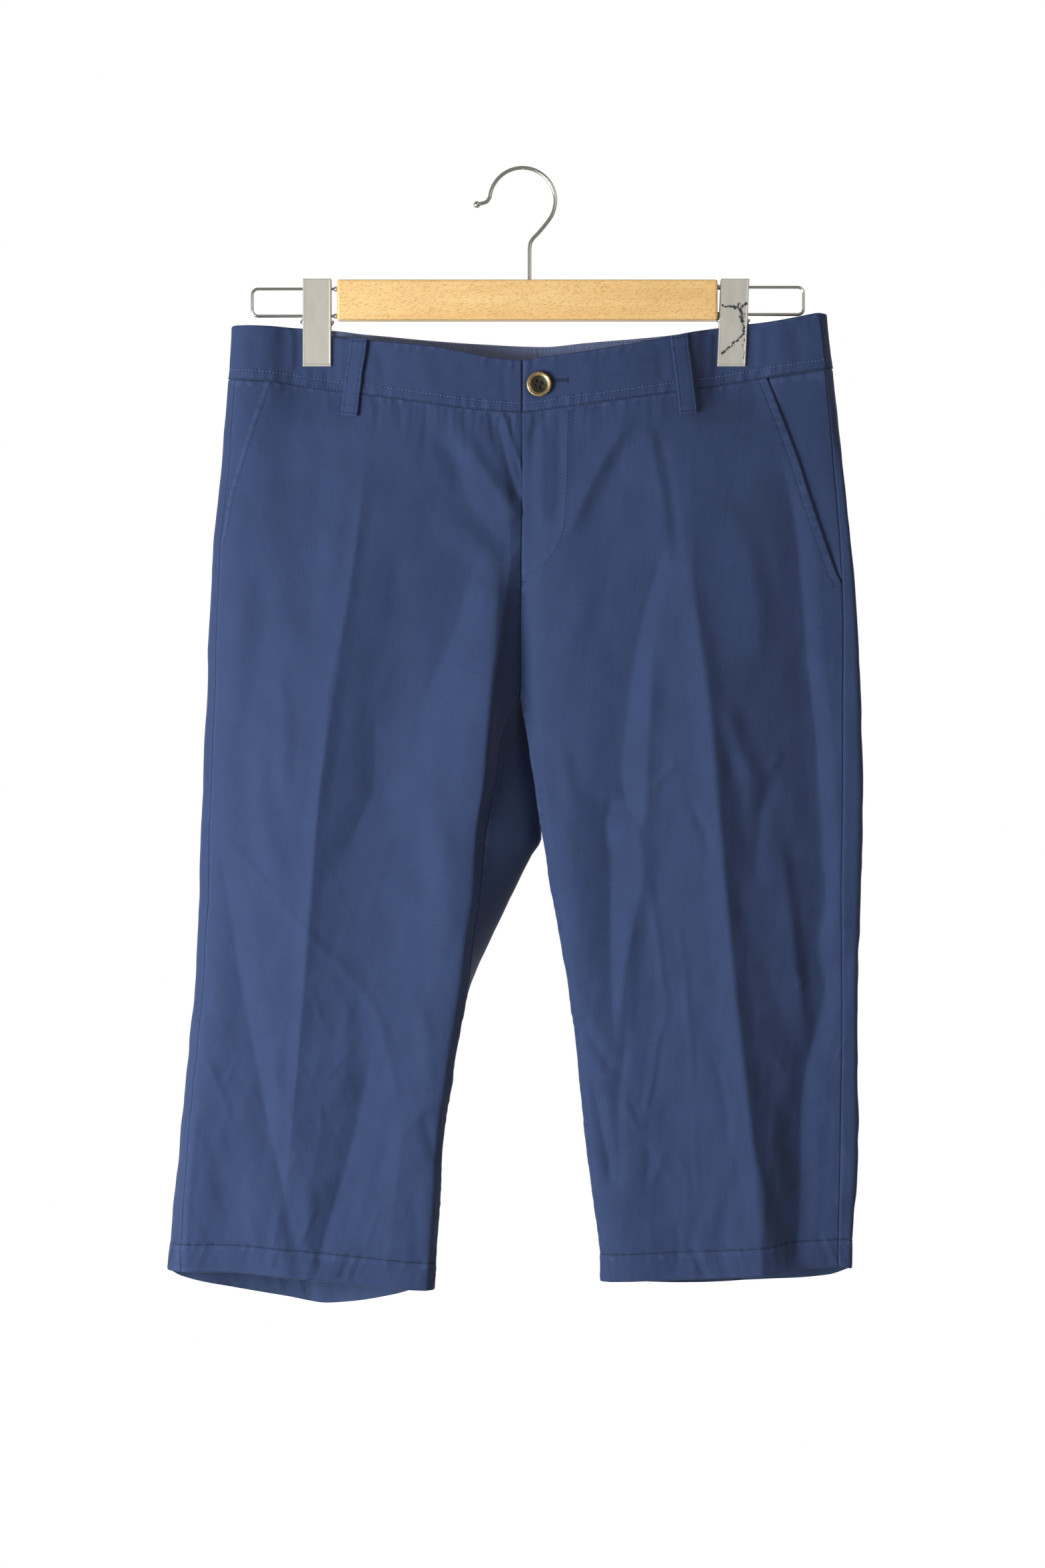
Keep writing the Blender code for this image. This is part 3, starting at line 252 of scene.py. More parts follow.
# The same for the wearer's left half (X above 0)
LEFT_SECTIONS = (
    Section(-95, (0, -13.5), (24, -14.5), (66, -13), (106, -8), (155, -4.5), (201.5, -4.5),
            (205.3, 0), (155, 4.5), (110, 9), (70, 13), (36, 14.5)),
    Section(-150, (0, -12), (24, -13), (66, -13.5), (112, -10.5), (160, -6.5), (207.8, -5),
            (211.8, 0.5), (158, 6.5), (114, 11), (72, 14), (37, 15)),
    Section(-205, (0, -9.5), (22, -12.5), (68, -15), (114.5, -16.5), (170, -12.5), (212, -8.5),
            (218, 0.5), (165, 11), (117, 17), (75, 17.5), (38, 17.5)),
    Section(-260, (-0.5, -8), (16, -13), (66, -16), (115, -21), (178, -14.5), (216.2, -11),
            (223.6, 0.5), (170, 15), (119, 22), (76, 20), (38, 18.5)),
    Section(-316, (-1.5, -5.5), (10, -13.5), (64, -18), (119, -25.5), (186, -14.5), (218, -12.5),
            (228, 0.5), (174, 18), (121, 26), (78, 22), (36, 18.5)),
    Section(-356.7, (-1.8, -3), (9, -13.5), (64, -19.5), (124, -28), (194, -13), (217.7, -13.2),
            (229.8, 0.5), (178, 19), (124, 28), (80, 24), (28, 18.5)),
    Section(-384, (2.8, -9), (13, -15), (66, -20.5), (127, -29), (198, -12.5), (217.6, -13.4),
            (230.8, 0.5), (180, 19.5), (127, 29), (81, 25), (26, 18)),
    Section(-421, (8.3, -14), (16, -17), (70, -20.5), (130.5, -29), (202, -12.5), (217.5, -13.6),
            (231.6, 0.5), (182, 20), (130, 30), (84, 26), (27, 17.5)),
    Section(-494, (20, -13), (25.5, -18.5), (78, -20), (137, -28.5), (206, -12.5), (216.5, -13.5),
            (230.2, 0.5), (184, 21), (136, 31), (90, 26), (34, 16)),
    Section(-567, (33.2, -10), (38, -16), (90, -20), (144.5, -27.5), (206, -12.5), (217, -13.3),
            (227.6, 0.5), (186, 21), (142, 31), (98, 26), (42, 14)),
    Section(-658, (43.4, -7), (48, -13), (100, -19.5), (155, -27), (203, -13), (216, -13),
            (228.3, 0.5), (188, 20), (148, 30), (106, 25), (50, 12)),
    Section(-751, (53.6, -6), (59, -12.5), (108, -18), (162, -27), (200, -12.5), (214.5, -11.5),
            (224, 0.5), (190, 18), (153, 28), (112, 24), (60, 12)),
    Section(-790, (55, -6), (65, -13), (110, -18.5), (163, -26), (201, -12), (215, -11),
            (224, 0.5), (191, 17.5), (154, 27.5), (113, 23.5), (62, 12)),
)

# Lines that run round the garment: (x, height) pairs from the right side to the left side
BAND_TOP_FRONT = ((-197, -106.7), (-150, -108.7), (-130, -113.8), (-104, -117), (-63, -121.2),
                  (0, -131.1), (12, -129.3), (41, -125.4), (72, -120.3), (100, -115.3),
                  (134, -108.9), (155, -106), (174, -104), (206, -98.3))
BAND_TOP_BACK = ((-197, -106.7), (-150, -108.5), (-104, -112), (-63, -115.4), (-29, -117.6),
                 (15, -119.4), (44, -116.7), (98, -112.5), (134, -108.5), (174, -104), (206, -98.3))
WAIST_SEAM_FRONT = ((-200, -142.9), (-175, -144.7), (-122, -152), (-103, -154.6), (0, -166.3),
                    (30.5, -162.6), (77, -156.4), (122, -149.8), (166.5, -142.2), (212, -135.6))
WAIST_SEAM_BACK = ((-200, -142.9), (-150, -145), (-104, -148), (0, -155), (15, -155.4),
                   (71, -150), (120, -145.5), (166, -141), (212, -135.6))
HEM_FRONT = ((-242, -750), (-222, -749.8), (-200, -750), (-152, -754), (-110, -758),
             (-60, -762.2), (53.6, -757.3), (110, -754.8), (163, -751.5), (186, -748.6),
             (208, -747.4), (219, -746.9), (225, -749))
HEM_BACK = ((-242, -750), (-234, -755.3), (-197.5, -764.7), (-161, -772), (-134, -776.7),
            (-115.6, -775.3), (-88, -770), (-60, -762.2), (53.6, -757.3), (80, -761),
            (120, -762), (170, -759.5), (210, -755), (225, -749))

# Slanted pocket edges: (height, x) pairs from the waist seam down
POCKET_EDGE = {
    -1: ((-144.7, -174.7), (-168.8, -183.4), (-197.5, -192.6), (-224.8, -200), (-255, -204.6)),
    1: ((-142, 166.5), (-156.1, 171.8), (-197.5, 187), (-231, 197.8), (-269.7, 211.1), (-285, 216.8)),
}

# Belt loops: x at the top and at the bottom, bottom height, and which layer carries them
BeltLoop = namedtuple("BeltLoop", "name top_x bottom_x bottom front")
BELT_LOOPS = (
    BeltLoop("belt_loop_front_right", -110.3, -117.2, -169.0, True),
    BeltLoop("belt_loop_front_left", 106.0, 112.5, -167.8, True),
    BeltLoop("belt_loop_back_right", -96.0, -98.0, -166.0, False),
    BeltLoop("belt_loop_back_left", 118.0, 119.5, -164.0, False),
    BeltLoop("belt_loop_back_centre", 10.8, 10.8, -171.0, False),
)
MIDDLE_LOOP_X = 10.9
LOOP_WIDTH = 12.0
LOOP_RISE = 1.0
LOOP_SEAT = 0.75
LOOP_WALL = 1.4
LOOP_STITCH = 2.0
LOOP_TACK = 1.8

# A fold: (x, z) points down its line, height out of the cloth (negative is a trough), how far it
# reaches to the left and to the right, how sharp its line is, and the shares of its length over
# which it starts and dies away
Fold = namedtuple("Fold", "line height left right sharp start end")


def fold(line, height, left, right, sharp=0.5, start=0.25, end=0.3):
    """A fold of middling sharpness that fades in and out, unless told otherwise."""
    return Fold(line, height, left, right, sharp, start, end)


def crinkle(start_x, start_z, end_x, end_z, height=0.3):
    """A short sharp line left where the cloth was crushed."""
    return fold(((start_x, start_z), (end_x, end_z)), height, 4, 3, 0.9, 0.3, 0.35)


FRONT_RIGHT_FOLDS = (
    # pressed crease
    fold(((-105, -178), (-112, -250), (-125, -339), (-139, -444), (-148, -556), (-157, -659),
          (-163, -703)), 1.0, 9, 9, 1.0, 0.15, 0.25),
    fold(((-106, -178), (-112, -240), (-120, -300), (-129, -357), (-136, -421)),
         -1.6, 40, 40, 0.8, 0.1, 0.45),
    # drag lines that run from the waist seam into the foot of the fly
    fold(((-50, -160), (-36, -190), (-21, -213), (-3, -240)), 1.4, 12, 9, 0.5, 0.45, 0.05),
    fold(((-70, -176), (-49, -195), (-37, -227), (-20, -248), (-4, -262)), -1.6, 14, 12, 0.4, 0.3, 0.05),
    fold(((-19, -167), (-12, -194), (-2, -226)), -1.5, 8, 6, 0.6, 0.15, 0.05),
    fold(((-5, -196), (0, -217)), -0.6, 4, 3, 0.6),
    fold(((-14, -165), (-6, -189), (0, -206)), 0.5, 3.5, 3, 0.9, 0.15, 0.05),
    fold(((-64, -204), (-42, -236), (-16, -262), (-3, -272)), -0.7, 14, 12, 0.4, 0.3, 0.1),
    # the flank between the crease and the pocket
    fold(((-136, -172), (-139, -230), (-144, -300), (-147, -352)), -1.3, 26, 18, 0.3),
    fold(((-170, -178), (-172, -240), (-168, -318)), 0.9, 20, 20, 0.2),
    fold(((-186, -262), (-192, -330), (-200, -402)), 1.0, 14, 14, 0.3),
    fold(((-182, -384), (-176, -426), (-168, -470), (-160, -496)), 0.9, 13, 12, 0.3),
    fold(((-166, -330), (-160, -382), (-163, -440)), 0.7, 10, 9, 0.3),
    # between the crease and the fold beside the centre seam
    fold(((-100, -352), (-100, -420), (-111, -446), (-125, -477), (-130, -505)), -1.7, 17, 26, 0.6),
    fold(((-20, -256), (-34, -276), (-42, -300), (-52, -329), (-68, -362), (-78, -410)),
         -2.5, 32, 16, 0.7, 0.15, 0.4),
    fold(((-62, -300), (-66, -352), (-84, -398)), 0.8, 16, 13, 0.3),
    fold(((-84, -246), (-88, -300), (-96, -352)), -0.8, 18, 20, 0.2),
    fold(((-60, -430), (-52, -480), (-50, -540)), 0.9, 18, 14, 0.3),
    # long diagonals across the knee
    fold(((-212, -448), (-204, -480), (-198, -510), (-190, -560), (-180, -610), (-172, -650), (-163, -690),
          (-157, -715), (-150, -748)), -2.2, 20, 16, 1.0, 0.12, 0.05),
    fold(((-210, -446), (-190, -467), (-170, -491), (-146, -519), (-130, -536)), 0.45, 5, 4, 1.0, 0.2, 0.3),
    fold(((-158, -505), (-146, -519), (-130, -536), (-110, -557), (-97, -578), (-91, -600), (-86, -625),
          (-82, -650)), 0.5, 7, 6, 1.0, 0.2, 0.2),
    fold(((-140, -534), (-122, -552), (-106, -572), (-100, -594)), -0.2, 8, 10, 0.7),
    fold(((-220, -592), (-208, -620), (-198, -646), (-191, -668)), 0.5, 6, 5, 1.0, 0.15, 0.3),
    fold(((-216, -640), (-206, -684), (-198, -716)), -0.6, 9, 9, 0.4),
    fold(((-168, -590), (-166, -640), (-172, -690)), 0.6, 9, 8, 0.4),
    # the inner side of the leg, full against the fold beside the seam
    fold(((-33, -440), (-42, -530), (-47, -567), (-60, -658), (-66, -748)), 1.2, 40, 8, 0.1, 0.25, 0.05),
    fold(((-16, -262), (-18, -300), (-21, -340), (-25, -384), (-28, -421)), 2.4, 26, 8, 0.7, 0.2, 0.4),
    # the foot of the leg
    fold(((-100, -594), (-108, -630), (-117, -668), (-126, -700), (-133, -722), (-139, -748)),
         -2.2, 22, 18, 1.0, 0.25, 0.05),
    fold(((-60, -634), (-74, -648), (-82, -659), (-84, -684), (-88, -712), (-92, -748)),
         0.7, 12, 10, 1.0, 0.12, 0.05),
    fold(((-68, -640), (-63, -658), (-57, -682)), -0.9, 7, 6, 1.0, 0.15, 0.3),
    fold(((-76, -690), (-72, -716), (-72, -748)), -0.7, 8, 9, 0.6, 0.3, 0.05),
    fold(((-163, -700), (-167, -722), (-170, -748)), 0.5, 6, 5, 1.0, 0.2, 0.05),
    fold(((-163, -700), (-159, -722), (-152, -748)), -0.4, 6, 5, 1.0, 0.2, 0.05),
    fold(((-220, -636), (-225, -690), (-228, -748)), 0.9, 12, 4, 0.8, 0.25, 0.05),
    fold(((-120, -560), (-118, -600), (-128, -640)), 0.6, 10, 9, 0.3),
    fold(((-70, -560), (-64, -600), (-66, -630)), 0.7, 10, 8, 0.4),
    fold(((-188, -700), (-180, -730), (-176, -752)), 0.7, 8, 8, 0.5),
    fold(((-142, -690), (-146, -722), (-144, -748)), 0.6, 7, 7, 0.5),
    # where the cloth was crushed
    crinkle(-137, -623, -113, -594), crinkle(-139, -626, -152, -610),
    crinkle(-137, -629, -136, -661, 0.35), crinkle(-136, -582, -142, -556),
    crinkle(-212, -577, -224, -582, 0.5), crinkle(-174, -591, -142, -585, 0.2),
    crinkle(-137, -700, -154, -738, 0.45), crinkle(-95, -700, -108, -738, 0.35),
    crinkle(-146, -640, -168, -655, -0.25), crinkle(-128, -650, -112, -660, 0.25),
    crinkle(-190, -600, -204, -628, 0.3), crinkle(-150, -664, -162, -690, 0.3),
    crinkle(-104, -560, -92, -548, 0.25), crinkle(-98, -690, -80, -706, 0.3),
    crinkle(-176, -668, -190, -684, -0.25),
)

FRONT_LEFT_FOLDS = (
    # pressed crease
    fold(((101, -180), (105, -210), (110, -254), (118, -305), (126, -360), (135, -470), (144, -566),
          (155, -660), (162, -698), (163, -742)), 1.9, 14, 11, 1.0, 0.35, 0.06),
    # the edge of the fly's facing inside
    fold(((31.4, -166), (30.4, -200), (29.4, -224), (28.2, -243), (22.1, -260), (12.7, -272), (2, -278)),
         0.4, 2.4, 3.5, 0.9, 0.02, 0.05),
    # drag lines that run from the waist seam towards the foot of the fly
    fold(((80, -165), (62, -189), (46, -217), (35, -241), (22, -263)), 1.9, 15, 9, 0.7, 0.25, 0.3),
    fold(((82, -168), (68, -192), (60, -214), (50, -238), (40, -262)), -1.0, 12, 20, 0.4, 0.4, 0.4),
    fold(((84, -168), (91, -206), (96, -230), (98, -262)), 0.8, 12, 7, 0.7, 0.2, 0.25),
    fold(((92, -172), (99, -210), (104, -250), (106, -292)), -0.5, 7, 7, 0.7),
    fold(((16.5, -165), (10, -177), (3, -189)), -0.7, 6, 5, 0.6, 0.1, 0.3),
    fold(((15, -172), (13, -220), (14, -256)), 0.7, 8, 7, 0.3),
    fold(((24, -170), (25, -214), (21, -250)), -0.6, 6, 6, 0.3),
    fold(((46, -262), (40, -300), (24, -338)), 0.9, 18, 16, 0.2),
    # bright facets beside the crease
    fold(((97, -256), (90, -278), (80, -314), (74, -345), (70, -380), (67, -411), (70, -430), (79, -450)),
         -2.3, 26, 12, 0.9, 0.1, 0.08),
    fold(((90, -318), (87, -360), (85, -404), (84, -436), (80, -452)), 1.6, 10, 11, 0.9, 0.3, 0.08),
    fold(((62, -426), (57, -449), (60, -470), (60, -520), (61, -560), (62, -604)),
         -2.7, 27, 13, 0.9, 0.05, 0.2),
    fold(((70, -436), (80, -456), (82, -476), (76, -510), (69, -545), (64, -602)),
         1.6, 11, 12, 0.9, 0.15, 0.25),
    fold(((85, -478), (90, -510), (95, -550), (98, -571), (92, -592), (87, -622), (80, -656)),
         0.6, 6, 4, 1.0, 0.1, 0.15),
    fold(((107, -400), (97, -412), (87, -423)), 0.7, 5, 5, 0.7),
    fold(((113, -426), (118, -441), (124, -452), (128, -480)), -0.8, 7, 5, 0.9, 0.15, 0.3),
    fold(((100, -500), (108, -530), (112, -570), (115, -610), (117, -645)), 0.5, 5, 4, 0.9),
    fold(((126, -596), (132, -612), (138, -640), (140, -672)), -0.7, 8, 5, 0.7),
    fold(((26, -392), (34, -440)), 0.8, 9, 9, 0.3),
    # between the crease and the side seam
    fold(((134, -360), (147, -397), (161, -424)), 1.0, 9, 11, 0.5),
    fold(((136, -392), (148, -432), (152, -480)), -0.8, 9, 9, 0.4),
    fold(((176, -396), (166, -412)), 0.7, 6, 6, 0.5),
    fold(((172, -408), (160, -448), (158, -492)), -1.4, 12, 10, 0.6),
    fold(((174, -452), (181, -510), (188, -560), (194, -604)), 1.7, 20, 9, 0.6, 0.2, 0.3),
    fold(((150, -230), (158, -300), (162, -352)), 1.6, 26, 16, 0.3, 0.3, 0.3),
    fold(((170, -180), (180, -215), (187.5, -258), (191, -300), (194, -340), (198, -372), (202, -426),
          (204, -470), (206, -495), (201, -530), (206, -556), (199, -590), (192, -618), (190, -650),
          (190, -690), (186, -748)), -2.4, 20, 12, 0.8, 0.12, 0.03),
    fold(((146, -420), (151, -480), (157, -560)), -0.5, 13, 14, 0.5, 0.3, 0.3),
    # the steep side between the crease and the side seam
    fold(((176, -250), (186, -320), (190, -400), (194, -470)), -0.6, 40, 16, 0.2, 0.3, 0.3),
    fold(((196, -590), (191, -650), (187, -748)), -0.9, 24, 26, 0.2, 0.4, 0.03),
    # the foot of the leg
    fold(((72, -575), (68, -610), (65, -632), (66, -700)), -1.3, 14, 7, 0.8, 0.25, 0.2),
    fold(((67, -632), (75, -646), (81, -658)), 0.8, 6, 6, 0.9, 0.15, 0.2),
    fold(((81, -658), (86, -670), (84, -692)), -0.6, 8, 7, 0.8, 0.15, 0.3),
    fold(((98, -664), (92, -680), (86, -696)), 0.45, 6, 5, 0.9, 0.2, 0.3),
    fold(((104, -668), (112, -690), (108, -704)), 0.4, 5, 5, 0.8),
    fold(((84, -712), (88, -730), (87, -750)), 0.35, 5, 5, 0.8),
    fold(((104, -716), (106, -734), (104, -752)), -0.35, 4, 4, 0.8),
    fold(((122, -706), (116, -728), (114, -750)), -0.45, 8, 5, 0.8),
    fold(((158, -600), (176, -640), (186, -690)), -0.8, 16, 14, 0.3),
    fold(((46, -616), (52, -644), (57, -670), (61, -696)), -2.0, 8, 8, 0.9, 0.25, 0.2),
    fold(((38, -578), (50, -597), (62, -614)), -1.4, 8, 8, 0.9, 0.1, 0.2),
    fold(((140, -690), (136, -724), (140, -748)), -0.7, 8, 8, 0.5),
    # where the cloth was crushed
    crinkle(75, -626, 85, -658), crinkle(49, -610, 72, -626), crinkle(91, -613, 81, -645),
    crinkle(84, -658, 104, -690, 0.35), crinkle(97, -546, 135, -543, 0.2),
    crinkle(40, -610, 145, -594, 0.2), crinkle(115, -626, 120, -716, 0.3),
    crinkle(180, -562, 193, -550, 0.35), crinkle(188, -556, 178, -530, 0.3),
    crinkle(212, -607, 222, -590, 0.5), crinkle(218, -652, 223, -677, 0.5),
    crinkle(214, -693, 221, -722, 0.5), crinkle(132, -640, 150, -634, 0.2),
    crinkle(98, -700, 112, -716, 0.3), crinkle(64, -690, 80, -684, 0.3),
    crinkle(166, -600, 178, -612, 0.25), crinkle(120, -500, 134, -512, 0.25),
)

BACK_RIGHT_FOLDS = (
    fold(((-104, -170), (-107, -260), (-114, -384), (-127, -530), (-138, -658), (-145, -740)),
         1.0, 14, 12, 1.0, 0.1, 0.15),
    fold(((-64, -162), (-44, -210), (-18, -262), (6, -300)), -2.0, 20, 18, 0.4),
    fold(((-40, -160), (-24, -206), (4, -248)), 1.3, 12, 11, 0.5),
    fold(((-120, -330), (-84, -344), (-44, -350), (-8, -346)), 1.2, 14, 16, 0.4),
    fold(((-60, -366), (-34, -392), (-14, -440)), -1.4, 16, 16, 0.4),
    fold(((-190, -170), (-176, -230), (-182, -300)), -0.9, 18, 16, 0.3),
    fold(((-206, -420), (-176, -480), (-140, -560), (-112, -640)), 1.5, 20, 22, 0.5),
    fold(((-200, -500), (-180, -570), (-184, -660)), -1.2, 18, 18, 0.4),
    fold(((-90, -430), (-80, -500), (-92, -580)), 1.0, 18, 16, 0.3),
    fold(((-60, -520), (-78, -590), (-86, -660)), -1.2, 14, 16, 0.5),
    fold(((-100, -600), (-118, -670), (-126, -750)), -1.8, 20, 20, 0.5),
    fold(((-160, -620), (-170, -690), (-164, -760)), 0.9, 14, 14, 0.4),
    fold(((-206, -620), (-212, -690), (-206, -750)), 0.8, 12, 10, 0.4),
    fold(((-150, -300), (-146, -360), (-160, -420)), 0.8, 16, 14, 0.3),
    fold(((-84, -700), (-90, -730), (-86, -766)), 0.7, 8, 9, 0.5),
)

BACK_LEFT_FOLDS = (
    fold(((114, -170), (119, -260), (127, -384), (139, -530), (148, -658), (153, -740)),
         1.0, 12, 14, 1.0, 0.1, 0.15),
    fold(((86, -162), (64, -210), (40, -262), (22, -300)), -1.9, 18, 20, 0.4),
    fold(((60, -158), (44, -200), (26, -240)), 1.2, 11, 12, 0.5),
    fold(((136, -334), (100, -346), (60, -350), (26, -344)), 1.1, 14, 16, 0.4),
    fold(((72, -372), (50, -400), (40, -452)), -1.3, 16, 16, 0.4),
    fold(((200, -176), (190, -236), (196, -304)), -0.9, 16, 18, 0.3),
    fold(((208, -430), (176, -490), (150, -560), (124, -650)), 1.5, 22, 20, 0.5),
    fold(((196, -520), (180, -590), (188, -670)), -1.1, 18, 18, 0.4),
    fold(((92, -440), (84, -510), (98, -590)), 0.9, 16, 18, 0.3),
    fold(((60, -540), (78, -600), (84, -670)), -1.1, 16, 14, 0.5),
    fold(((124, -620), (112, -680), (106, -750)), -1.4, 18, 18, 0.5),
    fold(((176, -640), (184, -700), (176, -750)), 0.9, 14, 14, 0.4),
    fold(((156, -300), (150, -360), (166, -420)), 0.8, 14, 16, 0.3),
    fold(((84, -706), (78, -732), (82, -756)), 0.7, 9, 8, 0.5),
)

# Short gathers where the panels are eased into the waistband: (x, length, height)
FRONT_GATHERS = (
    (-186, 12, -0.2), (-172, 16, 0.3), (-158, 14, 0.3), (-146, 12, -0.3), (-133, 18, 0.35),
    (-122, 22, -0.4), (-104, 26, 0.35), (-97, 34, -0.45), (-90, 14, 0.4), (-84, 22, -0.4),
    (-77, 28, 0.5), (-71, 16, -0.35), (-65, 40, -0.65), (-58, 18, 0.45), (-52, 14, -0.35),
    (-46, 24, 0.4), (-40, 32, -0.6), (-34, 14, 0.35), (-29, 18, 0.5), (-22, 36, -0.65),
    (-17, 14, 0.4), (-13, 22, 0.35), (-8, 30, -0.6), (-4, 12, 0.35),
    (5, 14, 0.35), (8.5, 34, -0.55), (13, 16, 0.3), (15, 24, -0.35), (20, 12, 0.3), (24, 22, -0.45),
    (29, 12, 0.25), (36, 16, -0.35), (41, 11, 0.3), (47, 22, 0.45), (54, 14, -0.35), (61, 13, 0.3),
    (70, 21, 0.5), (79, 12, -0.35), (88, 18, -0.4), (95, 24, 0.45), (102, 12, -0.3), (121, 16, -0.3),
    (128, 14, 0.3), (138, 10, -0.3), (148, 17, 0.35), (157, 12, -0.3),
)
BACK_GATHERS = (
    (-172, 14, 0.3), (-158, 20, -0.35), (-140, 12, 0.35), (-124, 17, -0.4), (-110, 12, 0.3),
    (-84, 16, 0.45), (-72, 22, -0.45), (-60, 12, 0.4), (-49, 18, -0.5), (-38, 26, 0.55),
    (-26, 14, -0.4), (-14, 19, 0.45), (0, 12, -0.3), (22, 16, 0.4), (33, 23, -0.5),
    (45, 13, 0.4), (57, 19, -0.45), (69, 12, 0.4), (82, 25, -0.45), (96, 14, 0.4),
    (132, 12, -0.35), (147, 18, 0.4), (162, 12, -0.3), (178, 16, 0.3), (190, 11, -0.3),
)

# Small upright folds pressed into the waistband beside the clips and the belt loops
BAND_FRONT_FOLDS = (
    fold(((-157, -108), (-158, -142)), 0.9, 7, 5, 0.4, 0.1, 0.3),
    fold(((-147, -134), (-148, -152)), 0.6, 4, 4, 0.5, 0.2, 0.2),
    fold(((-134, -133), (-133, -152)), -0.6, 4, 5, 0.5, 0.2, 0.2),
    fold(((-123, -114), (-124, -150)), 0.8, 5, 6, 0.4, 0.1, 0.3),
    fold(((-182, -112), (-184, -140)), -0.5, 9, 8, 0.3),
    fold(((-96, -120), (-95, -150)), -0.5, 6, 8, 0.3),
    fold(((-70, -124), (-60, -156)), 0.4, 10, 10, 0.2),
    fold(((-38, -128), (-34, -160)), -0.5, 12, 10, 0.2),
    fold(((-13, -133), (-12, -160)), -0.35, 4, 4, 0.6),
    fold(((-5.6, -129), (-5.4, -141)), -0.5, 2.2, 2.2, 0.8, 0.1, 0.4),
    fold(((7.2, -129), (7.0, -139)), -0.5, 2.2, 2.2, 0.8, 0.1, 0.4),
    fold(((22, -128), (21, -137)), 0.35, 2.4, 2.4, 0.8, 0.1, 0.5),
    fold(((-26, -128), (-27, -139)), 0.35, 2.6, 2.6, 0.8, 0.1, 0.5),
    fold(((58, -138), (74, -134), (92, -131)), 0.45, 3, 4, 0.6),
    fold(((60, -142), (76, -138), (90, -136)), -0.35, 3, 4, 0.5),
    fold(((44, -128), (46, -156)), 0.4, 9, 9, 0.2),
    fold(((94, -120), (95, -150)), -0.4, 6, 6, 0.3),
    fold(((128, -112), (127, -146)), 0.8, 6, 5, 0.4, 0.1, 0.3),
    fold(((139, -132), (138, -150)), -0.6, 4, 4, 0.5, 0.2, 0.2),
    fold(((150, -132), (150, -148)), 0.6, 4, 4, 0.5, 0.2, 0.2),
    fold(((162, -108), (161, -142)), 0.9, 5, 7, 0.4, 0.1, 0.3),
    fold(((186, -104), (189, -136)), -0.5, 9, 8, 0.3),
)
BAND_BACK_FOLDS = (
    fold(((-157, -108), (-158, -142)), 0.8, 7, 5, 0.4, 0.1, 0.3),
    fold(((-122, -112), (-123, -146)), 0.7, 5, 6, 0.4, 0.1, 0.3),
    fold(((-70, -118), (-66, -150)), -0.5, 12, 10, 0.3),
    fold(((-30, -120), (-34, -152)), 0.5, 10, 10, 0.3),
    fold(((40, -120), (44, -150)), -0.5, 10, 11, 0.3),
    fold(((78, -116), (74, -148)), 0.5, 10, 10, 0.3),
    fold(((128, -110), (127, -142)), 0.7, 6, 5, 0.4, 0.1, 0.3),
    fold(((162, -106), (162, -138)), 0.8, 5, 7, 0.4, 0.1, 0.3),
)


# ---------------------------------------------------------------- surface of the garment

def eased_slopes(x, y):
    """Slopes of a curve through the rows of y that never overshoots them."""
    span = np.diff(x).reshape((-1,) + (1,) * (y.ndim - 1))
    rise = np.diff(y, axis=0) / span
    slopes = np.zeros_like(y)
    before, after = rise[:-1], rise[1:]
    same_way = before * after > 0
    weight_a, weight_b = 2 * span[1:] + span[:-1], span[1:] + 2 * span[:-1]
    safe_before = np.where(same_way, before, 1.0)
    safe_after = np.where(same_way, after, 1.0)
    mean = (weight_a + weight_b) / (weight_a / safe_before + weight_b / safe_after)
    slopes[1:-1] = np.where(same_way, mean, 0.0)
    slopes[0], slopes[-1] = rise[0], rise[-1]
    return slopes


def hermite(start, end, start_slope, end_slope, t):
    """Cubic between two values, with its slopes already scaled by the step."""
    return (start * (2 * t ** 3 - 3 * t ** 2 + 1) + start_slope * (t ** 3 - 2 * t ** 2 + t)
            + end * (3 * t ** 2 - 2 * t ** 3) + end_slope * (t ** 3 - t ** 2))


def follow(x, y, at):
    """Smooth value at `at` of the table y over the rising values x."""
    x, y, at = np.asarray(x, float), np.asarray(y, float), np.asarray(at, float)
    slopes = eased_slopes(x, y)
    row = np.clip(np.searchsorted(x, at) - 1, 0, len(x) - 2)
    step = x[row + 1] - x[row]
    t = np.clip((at - x[row]) / step, 0.0, 1.0)
    shape = at.shape + (1,) * (y.ndim - 1)
    t, step = t.reshape(shape), step.reshape(shape)
    return hermite(y[row], y[row + 1], slopes[row] * step, slopes[row + 1] * step, t)


def run_of(marks):
    """How far along a line of points each of them lies."""
    return np.concatenate([[0.0], np.cumsum(np.linalg.norm(np.diff(marks, axis=0), axis=1))])


def unit(vector):
    return vector / np.linalg.norm(vector)


def smooth_step(low, high, value):
    t = np.clip((value - low) / (high - low), 0.0, 1.0)
    return t * t * (3 - 2 * t)


def line_table(rows):
    """Drops below the origin, rising, and the (x, y) places of a line down the garment."""
    return np.array([-height for height, _ in rows], float), np.array([place for _, place in rows], float)


def section_table(sections):
    """Drops and stations of the level cuts, and the lines of the centre front and the inseam."""
    drops = np.array([-section.height for section in sections], float)
    stations = np.array([section[1:] for section in sections], float)
    places = [(section.height, section.centre) for section in sections]
    centre_front = line_table([row for row in places if row[0] >= CROTCH_HEIGHT])
    inseam = line_table([row for row in places if row[0] <= CROTCH_HEIGHT])
    return drops, stations, centre_front, inseam


SECTION_TABLES = {-1: section_table(RIGHT_SECTIONS), 1: section_table(LEFT_SECTIONS)}


